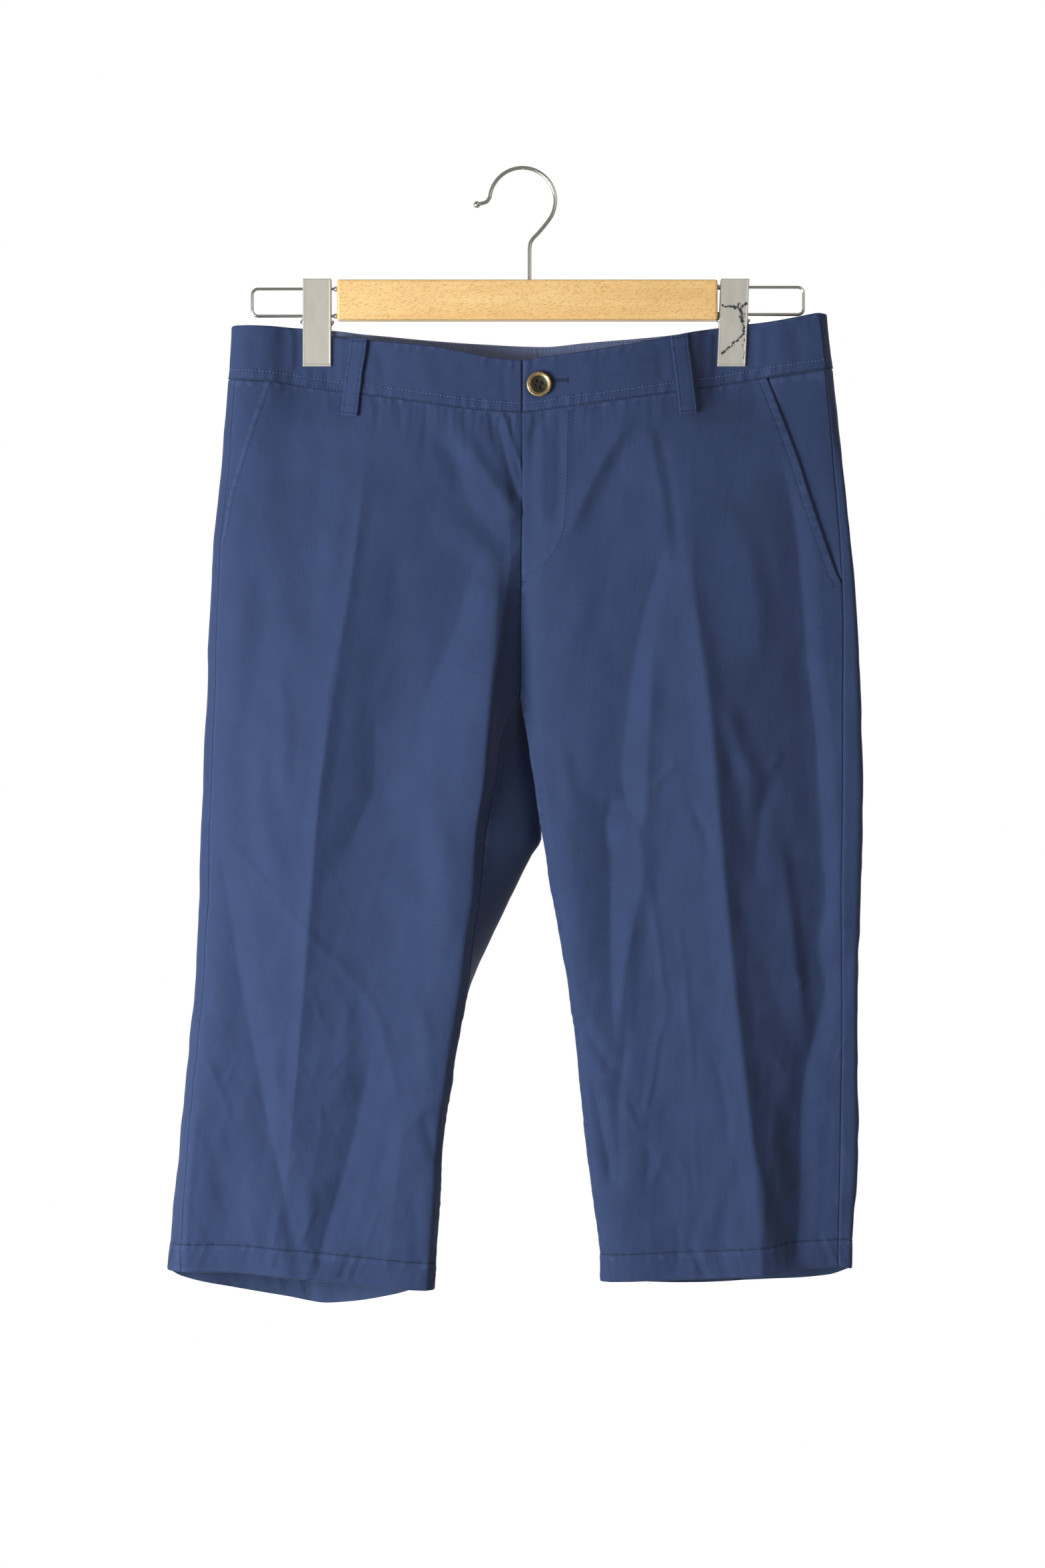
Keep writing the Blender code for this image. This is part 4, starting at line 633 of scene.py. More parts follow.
def stations_at(half, z):
    """(x, y) of all twelve stations at each height; the first and last meet below the crotch."""
    drops, stations, centre_front, inseam = SECTION_TABLES[half]
    points = follow(drops, stations, -z)
    whole = (z >= CROTCH_HEIGHT)[:, None]
    below = follow(*inseam, -z)
    front = np.where(whole, follow(*centre_front, -z), below)
    back = np.where(whole, follow(*line_table(CENTRE_BACK), -z), below)
    return np.concatenate([front[:, None], points[:, 1:], back[:, None]], axis=1)


def ring(half, u, z):
    """(x, y) of the smooth level cut through a half at station u (0 to 11) and height z."""
    points = stations_at(half, z)
    chords = np.diff(points, axis=1)
    lengths = np.linalg.norm(chords, axis=2, keepdims=True)
    directions = chords / lengths
    middle = ((lengths[:, :-1] * directions[:, 1:] + lengths[:, 1:] * directions[:, :-1])
              / (lengths[:, :-1] + lengths[:, 1:]))
    first = 1.5 * directions[:, :1] - 0.5 * middle[:, :1]
    last = 1.5 * directions[:, -1:] - 0.5 * middle[:, -1:]
    arriving = np.concatenate([first, middle, last], axis=1)
    leaving = arriving.copy()
    for station, sharp in SHARPNESS[half].items():
        arriving[:, station] += sharp * (directions[:, station - 1] - arriving[:, station])
        leaving[:, station] += sharp * (directions[:, station] - leaving[:, station])
    segment = np.clip(np.floor(u).astype(int), 0, BACK_CENTRE - 1)
    each = np.arange(len(u))
    t = (u - segment)[:, None]
    length = lengths[each, segment]
    return hermite(points[each, segment], points[each, segment + 1],
                   leaving[each, segment] * length, arriving[each, segment + 1] * length, t)


def pinched(x, y, z, outward):
    """The two layers pressed together between the jaws of the clips."""
    for centre in CLIP_X.values():
        share = ((1 - smooth_step(CLIP_WIDTH / 2 + 2.4, PINCH_REACH, np.abs(x - centre)))
                 * smooth_step(PINCH_FOOT, CLIP_BOTTOM - 3.0, z))
        y = y + share * (outward * PINCH - y)
    return y


def within(half, u, z):
    """A point of the half's own cloth without its folds, for u from 0 to 11."""
    flat = ring(half, u, z)
    outward = np.where(u <= EDGE, -1.0, 1.0)
    # behind the side seam the back's cloth goes on in line with the front before it turns
    past = np.clip(u - SIDE, 0.0, 1.0)
    stations = stations_at(half, z)
    side_y, edge_y = stations[:, SIDE, 1], stations[:, EDGE, 1]
    share = STRIP_SHARE[half] * smooth_step(STRIP_TOP, STRIP_FULL, z) * (u < EDGE) * (u > SIDE)
    y = flat[:, 1] + share * (side_y + (edge_y - side_y) * past ** STRIP_TURN - flat[:, 1])
    return np.stack([flat[:, 0], pinched(flat[:, 0], y, z, outward), z], axis=1)


def cloth(half, u, z):
    """A point of the garment; u below 0 or above 11 goes on over the seam into the next piece."""
    u, z = np.broadcast_arrays(np.asarray(u, float), np.asarray(z, float))
    shape = u.shape
    u, z = u.ravel(), z.ravel()
    before, after = u < 0, u > BACK_CENTRE
    split = z < CROTCH_HEIGHT
    own = np.where(before & split, BACK_CENTRE + u, np.where(after & split, u - BACK_CENTRE, u))
    across = np.where(before, -u, np.where(after, 2 * BACK_CENTRE - u, u))
    swap = (before | after) & ~split
    points = np.where(swap[:, None], within(-half, np.where(swap, across, 1.0), z),
                      within(half, np.where(swap, 1.0, own), z))
    return points.reshape(shape + (3,))


def cloth_normal(half, u, z):
    """The outward direction, shared by the pieces on both sides of every seam."""
    u, z = np.broadcast_arrays(np.asarray(u, float), np.asarray(z, float))
    step_u, step_z = 0.12, 3.0
    on_seam = (u < 1e-6) | (u > BACK_CENTRE - 1e-6)
    near_crotch = np.abs(z - CROTCH_HEIGHT) < step_z
    z_up = np.where(on_seam & near_crotch & (z <= CROTCH_HEIGHT), z, z + step_z)
    z_down = np.where(on_seam & near_crotch & (z > CROTCH_HEIGHT), z, z - step_z)
    around = cloth(half, u + step_u, z) - cloth(half, u - step_u, z)
    down = cloth(half, u, z_down) - cloth(half, u, z_up)
    normal = -half * np.cross(around, down)
    normal /= np.linalg.norm(normal, axis=-1, keepdims=True)
    at_crotch = on_seam & (np.abs(z - CROTCH_HEIGHT) < 0.5)
    return np.where(at_crotch[..., None], np.array(CROTCH_NORMAL), normal)


def line_height(front_line, back_line, x, front):
    """Height of a girth line at x, on the front or on the back layer."""
    heights = [follow([p[0] for p in line], [p[1] for p in line], x)
               for line in (front_line, back_line)]
    return np.where(front, heights[0], heights[1])


def station_x(half, u, z):
    """How far out the stations u lie at the level z."""
    u = np.asarray(u, float)
    return ring(half, u.ravel(), np.full(u.size, float(z)))[:, 0].reshape(u.shape)


def body_height(half, u, v):
    """Height at station u; v is 0 on the waist seam, CROTCH_SHARE at the crotch, 1 on the hem."""
    front = u <= EDGE
    seam = line_height(WAIST_SEAM_FRONT, WAIST_SEAM_BACK, station_x(half, u, WAIST_LEVEL), front)
    hem = line_height(HEM_FRONT, HEM_BACK, station_x(half, u, HEM_LEVEL), front)
    upper = seam + (CROTCH_HEIGHT - seam) * v / CROTCH_SHARE
    lower = CROTCH_HEIGHT + (hem - CROTCH_HEIGHT) * (v - CROTCH_SHARE) / (1 - CROTCH_SHARE)
    return np.where(v <= CROTCH_SHARE, upper, lower)


def band_height(half, u, v):
    """Height in the waistband; v is 0 on its top edge, 1 on the waist seam."""
    x = station_x(half, u, WAIST_LEVEL)
    front = u <= EDGE
    top = line_height(BAND_TOP_FRONT, BAND_TOP_BACK, x, front)
    seam = line_height(WAIST_SEAM_FRONT, WAIST_SEAM_BACK, x, front)
    return top + (seam - top) * v


def station_at(half, x, z, front=True):
    """The station u whose cloth lies at x, on the front or on the back layer."""
    x, z = np.broadcast_arrays(np.asarray(x, float), np.asarray(z, float))
    samples = np.linspace(0.0, EDGE, 121) if front else np.linspace(EDGE, BACK_CENTRE, 121)
    found = np.empty(x.size)
    for index, (wanted, height) in enumerate(zip(x.ravel(), z.ravel())):
        reach = half * ring(half, samples, np.full(samples.size, height))[:, 0]
        order = np.argsort(reach)
        found[index] = np.interp(half * wanted, reach[order], samples[order])
    return found.reshape(x.shape)


def trimmed(points):
    """The grid with its four borders drawn in by half a seam gap."""
    points = points.copy()
    for grid in (points, points.transpose(1, 0, 2)):
        for border, inside in ((0, 1), (-1, -2)):
            step = grid[inside] - grid[border]
            length = np.linalg.norm(step, axis=-1, keepdims=True)
            grid[border] += step / length * SEAM_GAP / 2
    return points


# ---------------------------------------------------------------- folds and relief

def fold_lift(folds, x, z):
    """How far the listed folds lift the cloth at the places (x, z)."""
    lift = np.zeros_like(x)
    for each in folds:
        marks = np.array(each.line, float)
        run = run_of(marks)
        steps = np.linspace(0.0, run[-1], 6 * (len(marks) - 1) + 1)
        line = follow(run, marks, steps)
        reach = max(each.left, each.right)
        near = np.all([x > line[:, 0].min() - reach, x < line[:, 0].max() + reach,
                       z > line[:, 1].min() - reach, z < line[:, 1].max() + reach], axis=0)
        if not near.any():
            continue
        near_x, near_z = x[near], z[near]
        nearest = np.full(near_x.shape, np.inf)
        across, share = np.zeros_like(near_x), np.zeros_like(near_x)
        for start, end, at, until in zip(line[:-1], line[1:], steps[:-1], steps[1:]):
            step_x, step_z = end - start
            to_x, to_z = near_x - start[0], near_z - start[1]
            t = np.clip((to_x * step_x + to_z * step_z) / (step_x ** 2 + step_z ** 2), 0.0, 1.0)
            away = np.hypot(to_x - t * step_x, to_z - t * step_z)
            closer = away < nearest
            side = np.sign(step_x * to_z - step_z * to_x)
            nearest = np.where(closer, away, nearest)
            across = np.where(closer, side * away, across)
            share = np.where(closer, (at + t * (until - at)) / run[-1], share)
        spread = np.where(across > 0, each.right, each.left)
        away = np.clip(np.abs(across) / spread, 0.0, 1.0)
        shape = each.sharp * (1 - away) ** 1.5 + (1 - each.sharp) * np.cos(away * math.pi / 2) ** 2
        ends = smooth_step(0.0, each.start, share) * (1 - smooth_step(1 - each.end, 1.0, share))
        lift[near] += FOLD_STRENGTH * each.height * ends * shape
    return lift


def gather_lift(gathers, x, below):
    """Short folds that hang from the waist seam, `below` it in millimetres."""
    lift = np.zeros_like(x)
    for number, (place, length, height) in enumerate(gathers):
        lean = 0.12 * math.sin(number * 2.4)
        away = np.clip(np.abs(x - place - lean * below) / (1.5 + 0.08 * below + 0.035 * length), 0, 1)
        ends = smooth_step(0.2, 2.6, below) * (1 - smooth_step(0.35 * length, length * 1.3, below))
        lift += GATHER_STRENGTH * height * ends * (1 - away) ** 1.6
    ease = 0.20 * uneven(x + 0.1 * below, 5.4, 0.7) + 0.12 * uneven(x, 3.7, 2.9)
    reach = 7.0 + 5.0 * uneven(x, 31.0, 1.3)
    return lift + ease * smooth_step(0.1, 1.2, below) * np.clip(1 - below / reach, 0, 1)


def uneven(along, pitch, seed):
    """A wave whose length and height wander along a seam."""
    turn = 2 * math.pi * along / pitch
    warp = 1.3 * np.sin(turn / 5.3 + seed) + 0.9 * np.sin(turn / 2.7 + 2.1 * seed)
    return np.sin(turn + warp) * (0.6 + 0.4 * np.sin(turn / 7.9 + 3.3 * seed))


def rumple(x, z, seed):
    """Slight, shallow unevenness of washed cloth."""
    lift = np.zeros_like(x)
    for number in range(7):
        angle = seed + 2.4 * number
        length = 13 + 7.5 * number
        turn = 2 * math.pi / length
        along = x * math.cos(angle) + z * math.sin(angle) * 0.55
        other = x * math.sin(angle * 1.7) + z * math.cos(angle * 1.7)
        lift += np.sin(turn * along + 1.6 * np.sin(other * turn * 0.61 + number)) * length / 30
    return lift / 4


def washed(half, x, z):
    """The rumple of a leg, stronger from the knee down."""
    return (0.35 + 0.22 * smooth_step(-400.0, -600.0, z)) * rumple(x, z, 1.7 + half)


def band_between(low, high, soft, value):
    """1 between low and high, fading over `soft` on both sides."""
    return smooth_step(low - soft, low, value) * (1 - smooth_step(high, high + soft, value))


def roll(distance, reach):
    """1 on an edge, 0 from `reach` on, rounded over."""
    return np.clip(1 - distance / reach, 0.0, 1.0) ** 2


def groove(distance, place, width):
    """1 at `place`, fading evenly to both sides."""
    return np.exp(-((distance - place) / width) ** 2)


def flat_share(x, z):
    """0 between the jaws of a clip, 1 where the cloth is free."""
    share = np.ones_like(x)
    for centre in CLIP_X.values():
        held = ((1 - smooth_step(CLIP_WIDTH / 2 + 1.0, CLIP_WIDTH / 2 + 6.0, np.abs(x - centre)))
                * smooth_step(CLIP_BOTTOM - 5.0, CLIP_BOTTOM + 1.0, z))
        share *= 1 - held
    return share


Lay = namedtuple("Lay", "points normals top bottom first last")


def laid(points, normals):
    """A piece laid on the garment: its grid of points, and their distances from its four edges."""
    points = trimmed(points)
    down = np.linalg.norm(np.diff(points, axis=0), axis=-1)
    over = np.linalg.norm(np.diff(points, axis=1), axis=-1)
    top = np.concatenate([np.zeros((1, points.shape[1])), np.cumsum(down, axis=0)])
    first = np.concatenate([np.zeros((points.shape[0], 1)), np.cumsum(over, axis=1)], axis=1)
    return Lay(points, normals, top, top[-1:] - top, first, first[:, -1:] - first)


def lay(half, u, z):
    """The piece of a half that covers a grid of stations u and heights z."""
    return laid(cloth(half, u, z), cloth_normal(half, u, z))


def body_lift(half, u, x, z):
    """Folds of a half: the front's out to the turn of the side, the back's beyond it."""
    front_folds, back_folds = ((FRONT_RIGHT_FOLDS, BACK_RIGHT_FOLDS) if half < 0
                               else (FRONT_LEFT_FOLDS, BACK_LEFT_FOLDS))
    front = u <= EDGE
    lift = np.zeros_like(x)
    lift[front] = fold_lift(front_folds, x[front], z[front])
    lift[~front] = fold_lift(back_folds, x[~front], z[~front])
    fade = np.where(front, 1 - smooth_step(4.6, 5.6, u), smooth_step(6.4, 7.0, u))
    return lift * fade * smooth_step(0.0, 0.14, u) * (1 - smooth_step(10.86, 11.0, u))


def hem_relief(sheet, seed):
    """The turned hem: a second layer, its row of stitches and the twist between them."""
    depth = sheet.bottom
    relief = 0.22 * (1 - smooth_step(HEM_DEPTH - 1.6, HEM_DEPTH + 0.8, depth))
    relief -= 0.28 * groove(depth, HEM_DEPTH, 0.8)
    slanted = sheet.first + 0.3 * depth
    relief += 0.15 * uneven(slanted, 12.5, seed) * band_between(3.0, HEM_DEPTH - 1.0, 4.0, depth)
    relief += 0.10 * uneven(slanted, 6.8, seed + 5) * band_between(6.0, HEM_DEPTH + 2.0, 5.0, depth)
    relief += 0.10 * uneven(sheet.first, 5.7, seed + 2) * groove(depth, HEM_DEPTH - 1.0, 4.0)
    relief -= 0.35 * roll(depth, 1.4)
    return relief


def seam_relief(distance, along, seed, depth=0.6):
    """An edge turned into a seam, with the small puckers beside it."""
    relief = -depth * roll(distance, 1.2)
    relief += 0.20 * uneven(along, 9.3, seed) * band_between(1.6, 3.2, 2.4, distance)
    relief += 0.10 * uneven(along, 5.2, seed + 1) * band_between(1.2, 2.0, 1.6, distance)
    return relief


def side_seam(distance, along, seed):
    """A flat, well pressed seam that shows as a fine line."""
    return 0.2 * seam_relief(distance, along, seed) - 0.3 * roll(distance, 0.9)


# ---------------------------------------------------------------- cloth meshes

def piece_object(name, points, faces, finishes, finish_of_face=None, smooth=True):
    """A named mesh object in metres from points in millimetres."""
    mesh = bpy.data.meshes.new(name)
    mesh.from_pydata((np.asarray(points) * MM).tolist(), [], [list(face) for face in faces])
    for finish in finishes:
        mesh.materials.append(finish)
    if finish_of_face is not None:
        mesh.polygons.foreach_set("material_index", np.asarray(finish_of_face, np.int32))
    if smooth:
        mesh.shade_smooth()
    mesh.update()
    made = bpy.data.objects.new(name, mesh)
    bpy.context.scene.collection.objects.link(made)
    return made


def give_attribute(made, name, kind, values):
    """Values on a mesh's points that its finish reads."""
    attribute = made.data.attributes.new(name, kind, "POINT")
    key = "vector" if kind == "FLOAT_VECTOR" else "value"
    attribute.data.foreach_set(key, np.asarray(values, np.float32).ravel())


def quads(number):
    """The four-sided faces of a grid of numbered points."""
    faces = np.stack([number[:-1, :-1], number[:-1, 1:], number[1:, 1:], number[1:, :-1]], -1)
    return faces.reshape(-1, 4)


def closed_shell(name, outer, inner, finishes, edge_round):
    """A thin closed wall between two grids of points, rounded all round; also its rim's numbers."""
    rows, columns = outer.shape[:2]
    count = rows * columns
    number = np.arange(count).reshape(rows, columns)
    rim = np.concatenate([number[0, :-1], number[:-1, -1], number[-1, :0:-1], number[:0:-1, 0]])
    row, column = rim // columns, rim % columns
    middle = (outer + inner) / 2
    beside = middle[np.clip(row, 1, rows - 2), np.clip(column, 1, columns - 2)]
    outward = middle[row, column] - beside
    outward /= np.linalg.norm(outward, axis=1, keepdims=True)
    edge = middle[row, column] + outward * edge_round
    points = np.concatenate([outer.reshape(-1, 3), inner.reshape(-1, 3), edge])
    skin = quads(number)
    lining = skin[:, ::-1] + count
    here, there = np.arange(len(rim)), np.roll(np.arange(len(rim)), -1)
    brow = np.stack([rim[there], rim, 2 * count + here, 2 * count + there], -1)
    lip = np.stack([2 * count + there, 2 * count + here, rim + count, rim[there] + count], -1)
    faces = np.concatenate([skin, lining, brow, lip])
    corner = points[faces]
    volume = np.einsum("ij,ij->i", corner[:, 0], np.cross(corner[:, 1], corner[:, 2])).sum()
    volume += np.einsum("ij,ij->i", corner[:, 0], np.cross(corner[:, 2], corner[:, 3])).sum()
    if volume < 0:
        faces = faces[:, ::-1]
    inside = np.zeros(len(faces), int)
    inside[len(skin):len(skin) + len(lining)] = len(finishes) - 1
    inside[len(skin) + len(lining) + len(brow):] = len(finishes) - 1
    return piece_object(name, points, faces, finishes, inside), rim


def cloth_shell(name, outer, inner, grain, fade, lining=None):
    """A shell of cloth that knows its grain, where washing has faded its ridges and where painted shade
    darkens its grooves; its inner faces are painted lighter.
    """
    made, rim = closed_shell(name, outer, inner, [CLOTH, lining or CLOTH_INSIDE_PAINTED_LIGHT], EDGE_ROUND)
    flat = grain.reshape(-1, 3)
    give_attribute(made, "grain", "FLOAT_VECTOR", np.concatenate([flat, flat, flat[rim]]))
    shade = fade.ravel()
    # fade: washed wear on the ridges, painted shade in the grooves
    give_attribute(made, "fade", "FLOAT", np.concatenate([shade, shade, shade[rim]]))
    return made


def grain_of(sheet, start):
    """Places across and down the cut piece in millimetres, for the weave."""
    return np.stack([sheet.first + start, sheet.top, np.zeros_like(sheet.top)], axis=-1)


def shell_of(name, sheet, lift, wear_and_shade, wall, face, seed):
    """The shell of a laid piece, with the share of washed fading on its raised edges and of painted shade
    in its grooves.
    """
    outer = sheet.points + sheet.normals * (face + lift)[..., None]
    inner = outer - sheet.normals * wall
    made = cloth_shell(name, outer, inner, grain_of(sheet, GRAIN_SHIFT * seed), wear_and_shade)
    return made, outer


# ---------------------------------------------------------------- stitching

def run_at(distance, outer, normals, value, down=True):
    """The line on a piece that keeps a set distance from one of its edges."""
    if not down:
        distance, outer, normals = distance.T, outer.transpose(1, 0, 2), normals.transpose(1, 0, 2)
    places, facings = [], []
    for column in range(distance.shape[1]):
        far = distance[:, column]
        order = slice(None) if far[0] < far[-1] else slice(None, None, -1)
        if value > far.max():
            continue
        places.append([np.interp(value, far[order], outer[order, column, k]) for k in range(3)])
        facings.append([np.interp(value, far[order], normals[order, column, k]) for k in range(3)])
    return np.array(places), np.array(facings)


def stitch_row(places, facings, pitch=STITCH_PITCH, share=0.6, radius=STITCH_RADIUS, sink=0.1):
    """Points and faces of a row of single stitches along a line on the cloth."""
    run = run_of(places)
    count = int(run[-1] // pitch)
    points, faces = [], []
    turns = np.arange(STITCH_SIDES) * 2 * math.pi / STITCH_SIDES
    for number in range(count):
        middle = (number + 0.5) * run[-1] / count
        wander = 0.06 * math.sin(number * 1.9) * pitch
        at = middle + wander + np.array(STITCH_SPAN) * share * pitch
        line = np.stack([np.interp(at, run, places[:, k]) for k in range(3)], axis=1)
        out = np.stack([np.interp(at, run, facings[:, k]) for k in range(3)], axis=1)
        out /= np.linalg.norm(out, axis=1, keepdims=True)
        side = np.cross(unit(line[-1] - line[0]), out)
        line = line + out * np.array([-STITCH_DIVE, sink, sink, -STITCH_DIVE])[:, None]
        thick = radius * np.array(STITCH_TAPER)
        start = len(points)
        for k in range(4):
            for turn in turns:
                points.append(line[k] + thick[k] * (math.cos(turn) * side[k] + math.sin(turn) * out[k]))
        for k in range(3):
            for s in range(STITCH_SIDES):
                n = (s + 1) % STITCH_SIDES
                low, high = start + k * STITCH_SIDES, start + (k + 1) * STITCH_SIDES
                faces.append((low + s, high + s, high + n, low + n))
        faces.append(tuple(start + s for s in range(STITCH_SIDES)))
        faces.append(tuple(start + 3 * STITCH_SIDES + s for s in reversed(range(STITCH_SIDES))))
    return points, faces


def stitching(name, rows, finish):
    """All the stitch rows of a piece, as one object that rides with it."""
    points, faces = [], []
    for row_points, row_faces in rows:
        start = len(points)
        points += row_points
        faces += [tuple(start + corner for corner in face) for face in row_faces]
    made = piece_object(name, points, faces, [finish])
    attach(made, "root")
    return made


class Cast:
    """Finds the outside of a cloth piece behind a place (x, z), seen from the front."""

    def __init__(self, outer):
        number = np.arange(outer[..., 0].size).reshape(outer.shape[:2])
        self.tree = BVHTree.FromPolygons([Vector(p) for p in outer.reshape(-1, 3)],
                                         quads(number).tolist())

    def line(self, marks, step=1.2):
        """The marks joined smoothly and dropped on the cloth."""
        marks = np.array(marks, float)
        run = run_of(marks)
        at = np.linspace(0.0, run[-1], max(2, int(run[-1] / step) + 1))
        places, facings = [], []
        for x, z in follow(run, marks, at):
            place, normal, _, _ = self.tree.ray_cast(Vector((x, CAST_FROM, z)), Vector((0.0, 1.0, 0.0)))
            if place is None:
                continue
            if normal.y > 0:
                normal = -normal
            places.append(list(place))
            facings.append(list(normal))
        return np.array(places), np.array(facings)


# ---------------------------------------------------------------- cut pieces

def spaced(stops, counts):
    """Station values with an even number of steps between each pair of stops."""
    parts = [np.linspace(low, high, count, endpoint=False)
             for low, high, count in zip(stops[:-1], stops[1:], counts)]
    return np.concatenate(parts + [stops[-1:]])


ROW_STOPS = [0, 0.0125, 0.08, CROTCH_SHARE, 0.955, 0.966, 0.980, 0.995, 1]
FRONT_ROWS = spaced(ROW_STOPS, [8, 22, 76, 182, 4, 10, 7, 5])
BACK_ROWS = spaced(ROW_STOPS, [6, 16, 54, 112, 4, 10, 7, 5])
FRONT_STATIONS = spaced([0, 0.07, 0.25, 1, 2, 3, 4, 4.8, 5], [4, 4, 12, 34, 32, 34, 20, 6])
BACK_STATIONS = spaced([5, 5.3, 5.8, 6, 6.12, 6.4, 7, 8, 9, 10, 10.8, 10.95, 11],
                       [4, 4, 5, 3, 5, 14, 24, 22, 22, 12, 4, 4])


def as_cloth(piece, node):
    """Puts a piece of cloth in its solid's place."""
    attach(piece, "root")
    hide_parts(node)


def pocket_station(half, z):
    """Station of the slanted pocket edge at heights z; the side seam below the pocket."""
    drops = [-p[0] for p in POCKET_EDGE[half]]
    x = follow(drops, [p[1] for p in POCKET_EDGE[half]], -z)
    found = station_at(half, x, z)
    low = POCKET_END[half]
    share = smooth_step(low, low + 8.0, z)
    return np.minimum(SIDE + share * (found - SIDE), SIDE)


def hem_row(sheet, outer):
    """The short, sunk stitches that hold a turned hem."""
    return stitch_row(*run_at(sheet.bottom, outer, sheet.normals, HEM_DEPTH), share=0.42, radius=0.3)


def front_panel(side, half):
    """A front: crease, drag lines to the fly, slanted pocket edge and turned hem."""
    v, u = np.meshgrid(FRONT_ROWS, FRONT_STATIONS, indexing="ij")
    z = body_height(half, u, v)
    for _ in range(2):
        end = np.repeat(pocket_station(half, z[:, -1])[:, None], u.shape[1], axis=1)
        slid = np.where(u > CREASE, CREASE + (u - CREASE) * (end - CREASE) / (SIDE - CREASE), u)
        z = body_height(half, slid, v)
    sheet = lay(half, slid, z)
    x = sheet.points[..., 0]
    seed = 1.7 + half
    open_pocket = smooth_step(POCKET_END[half] - 4.0, POCKET_END[half] + 10.0, z)
    over_fly = smooth_step(FLY_FOOT - 3.0, FLY_FOOT + 6.0, z)

    lift = body_lift(half, slid, x, z) * flat_share(x, z) + washed(half, x, z)
    lift += gather_lift(FRONT_GATHERS, x, sheet.top)
    relief = seam_relief(sheet.top, x, seed + 4, 0.4)
    relief += hem_relief(sheet, seed)
    relief += side_seam(sheet.last, z, seed + 6) * (1 - open_pocket)
    relief += seam_relief(sheet.first, z, seed + 9) * (1 - over_fly)
    # the turned pocket edge with its row of stitches
    sewn = POCKET_STITCH[half]
    gape = POCKET_GAPE[half] * smooth_step(0.0, 30.0, sheet.top) * (1 - smooth_step(0.0, 16.0, sheet.last))
    edge = 0.10 * band_between(0.8, sewn - 1.0, 0.8, sheet.last) - 0.3 * roll(sheet.last, 0.8)
    edge -= 0.18 * groove(sheet.last, sewn, 0.7)
    edge += 0.14 * uneven(z, 7.4, seed + 11) * band_between(1.5, sewn, 3.0, sheet.last)
    relief += (gape + edge) * open_pocket
    # the left front laps over the right one down to the foot of the fly
    if half > 0:
        lap = 0.35 * (1 - smooth_step(2.0, 7.0, sheet.first)) - 0.3 * roll(sheet.first, 0.6)
        relief += lap * over_fly
    else:
        relief -= 0.5 * (1 - smooth_step(0.2, 1.6, sheet.first)) * over_fly
    made, outer = shell_of("cloth_front_" + side, sheet, lift + relief, wear_and_shade_of(relief), CLOTH_WALL,
                           CLOTH_FACE, seed + 2)
    as_cloth(made, "front_" + side)

    rows = [hem_row(sheet, outer)]
    places, facings = run_at(sheet.last, outer, sheet.normals, sewn, down=False)
    along_pocket = places[:, 2] > POCKET_END[half] - 2.0
    rows.append(stitch_row(places[along_pocket], facings[along_pocket]))
    if half > 0:
        rows.append(stitch_row(*Cast(outer).line(FLY_STITCH)))
    stitching("stitching_front_" + side, rows, THREAD)


def softened(values, reach):
    """The mean of a grid's values over a small square round each one."""
    for _ in range(2):
        padded = np.pad(values, ((reach + 1, reach), (0, 0)), mode="edge")
        total = np.cumsum(padded, axis=0)
        values = ((total[2 * reach + 1:] - total[:-2 * reach - 1]) / (2 * reach + 1)).T
    return values


def wear_and_shade_of(relief):
    """How much paler washing has left the raised edges, up to 1, and how much painted shade darkens the
    grooves, down to -1.
    """
    return np.clip((relief - softened(relief, 4)) / 0.22, -1.0, 1.0)


def back_panel(side, half):
    """A back: crease, seat drag lines and turned hem; the seams stay plain."""
    v, u = np.meshgrid(BACK_ROWS, BACK_STATIONS, indexing="ij")
    z = body_height(half, u, v)
    sheet = lay(half, u, z)
    x = sheet.points[..., 0]
    seed = 5.1 + half
    lift = body_lift(half, u, x, z) * flat_share(x, z) + washed(half, x, z)
    lift += gather_lift(BACK_GATHERS, x, sheet.top)
    relief = seam_relief(sheet.top, x, seed + 4) + hem_relief(sheet, seed)
    relief += side_seam(sheet.first, z, seed + 6) + seam_relief(sheet.last, z, seed + 9)
    made, outer = shell_of("cloth_back_" + side, sheet, lift + relief, wear_and_shade_of(relief), CLOTH_WALL,
                           CLOTH_FACE, seed + 2)
    as_cloth(made, "back_" + side)
    stitching("stitching_back_" + side, [hem_row(sheet, outer)], THREAD)


def pocket_side(side, half):
    """The side piece behind a slanted pocket edge, tucked under the front."""
    share = np.linspace(0.0, 1.0, 70)
    across = np.linspace(0.0, 1.0, 34)
    bottom = POCKET_END[half] + 5.0
    top = body_height(half, np.full(1, float(SIDE)), np.zeros(1))[0]
    z_line = top + (bottom - top) * share
    edge = pocket_station(half, z_line)
    edge_x = np.array([station_x(half, np.array([e]), h)[0] for e, h in zip(edge, z_line)])
    under = station_at(half, edge_x - half * POCKET_UNDERLAP, z_line)
    u = under[:, None] + (SIDE - under)[:, None] * across[None, :]
    seam = body_height(half, u, np.zeros_like(u))
    z = seam + (bottom - seam) * share[:, None]
    clear = (u - edge[:, None]) / np.maximum(SIDE - edge, 1e-6)[:, None]
    sunk = POCKET_SINK[half] * (1 - smooth_step(0.15, 1.0, clear))
    sheet = lay(half, u, z)
    x = sheet.points[..., 0]
    seed = 8.3 + half
    lift = body_lift(half, u, x, z) * flat_share(x, z) + washed(half, x, z)
    relief = seam_relief(sheet.top, x, seed)
    relief += side_seam(sheet.last, z, seed + 3)
    made, _ = shell_of("cloth_pocket_side_" + side, sheet, lift + relief - sunk, wear_and_shade_of(relief),
                       CLOTH_WALL, CLOTH_FACE, seed)
    as_cloth(made, "pocket_side_" + side)


BAND_ROWS = spaced([0, 0.07, 0.80, 0.88, 1], [4, 18, 4, 6])


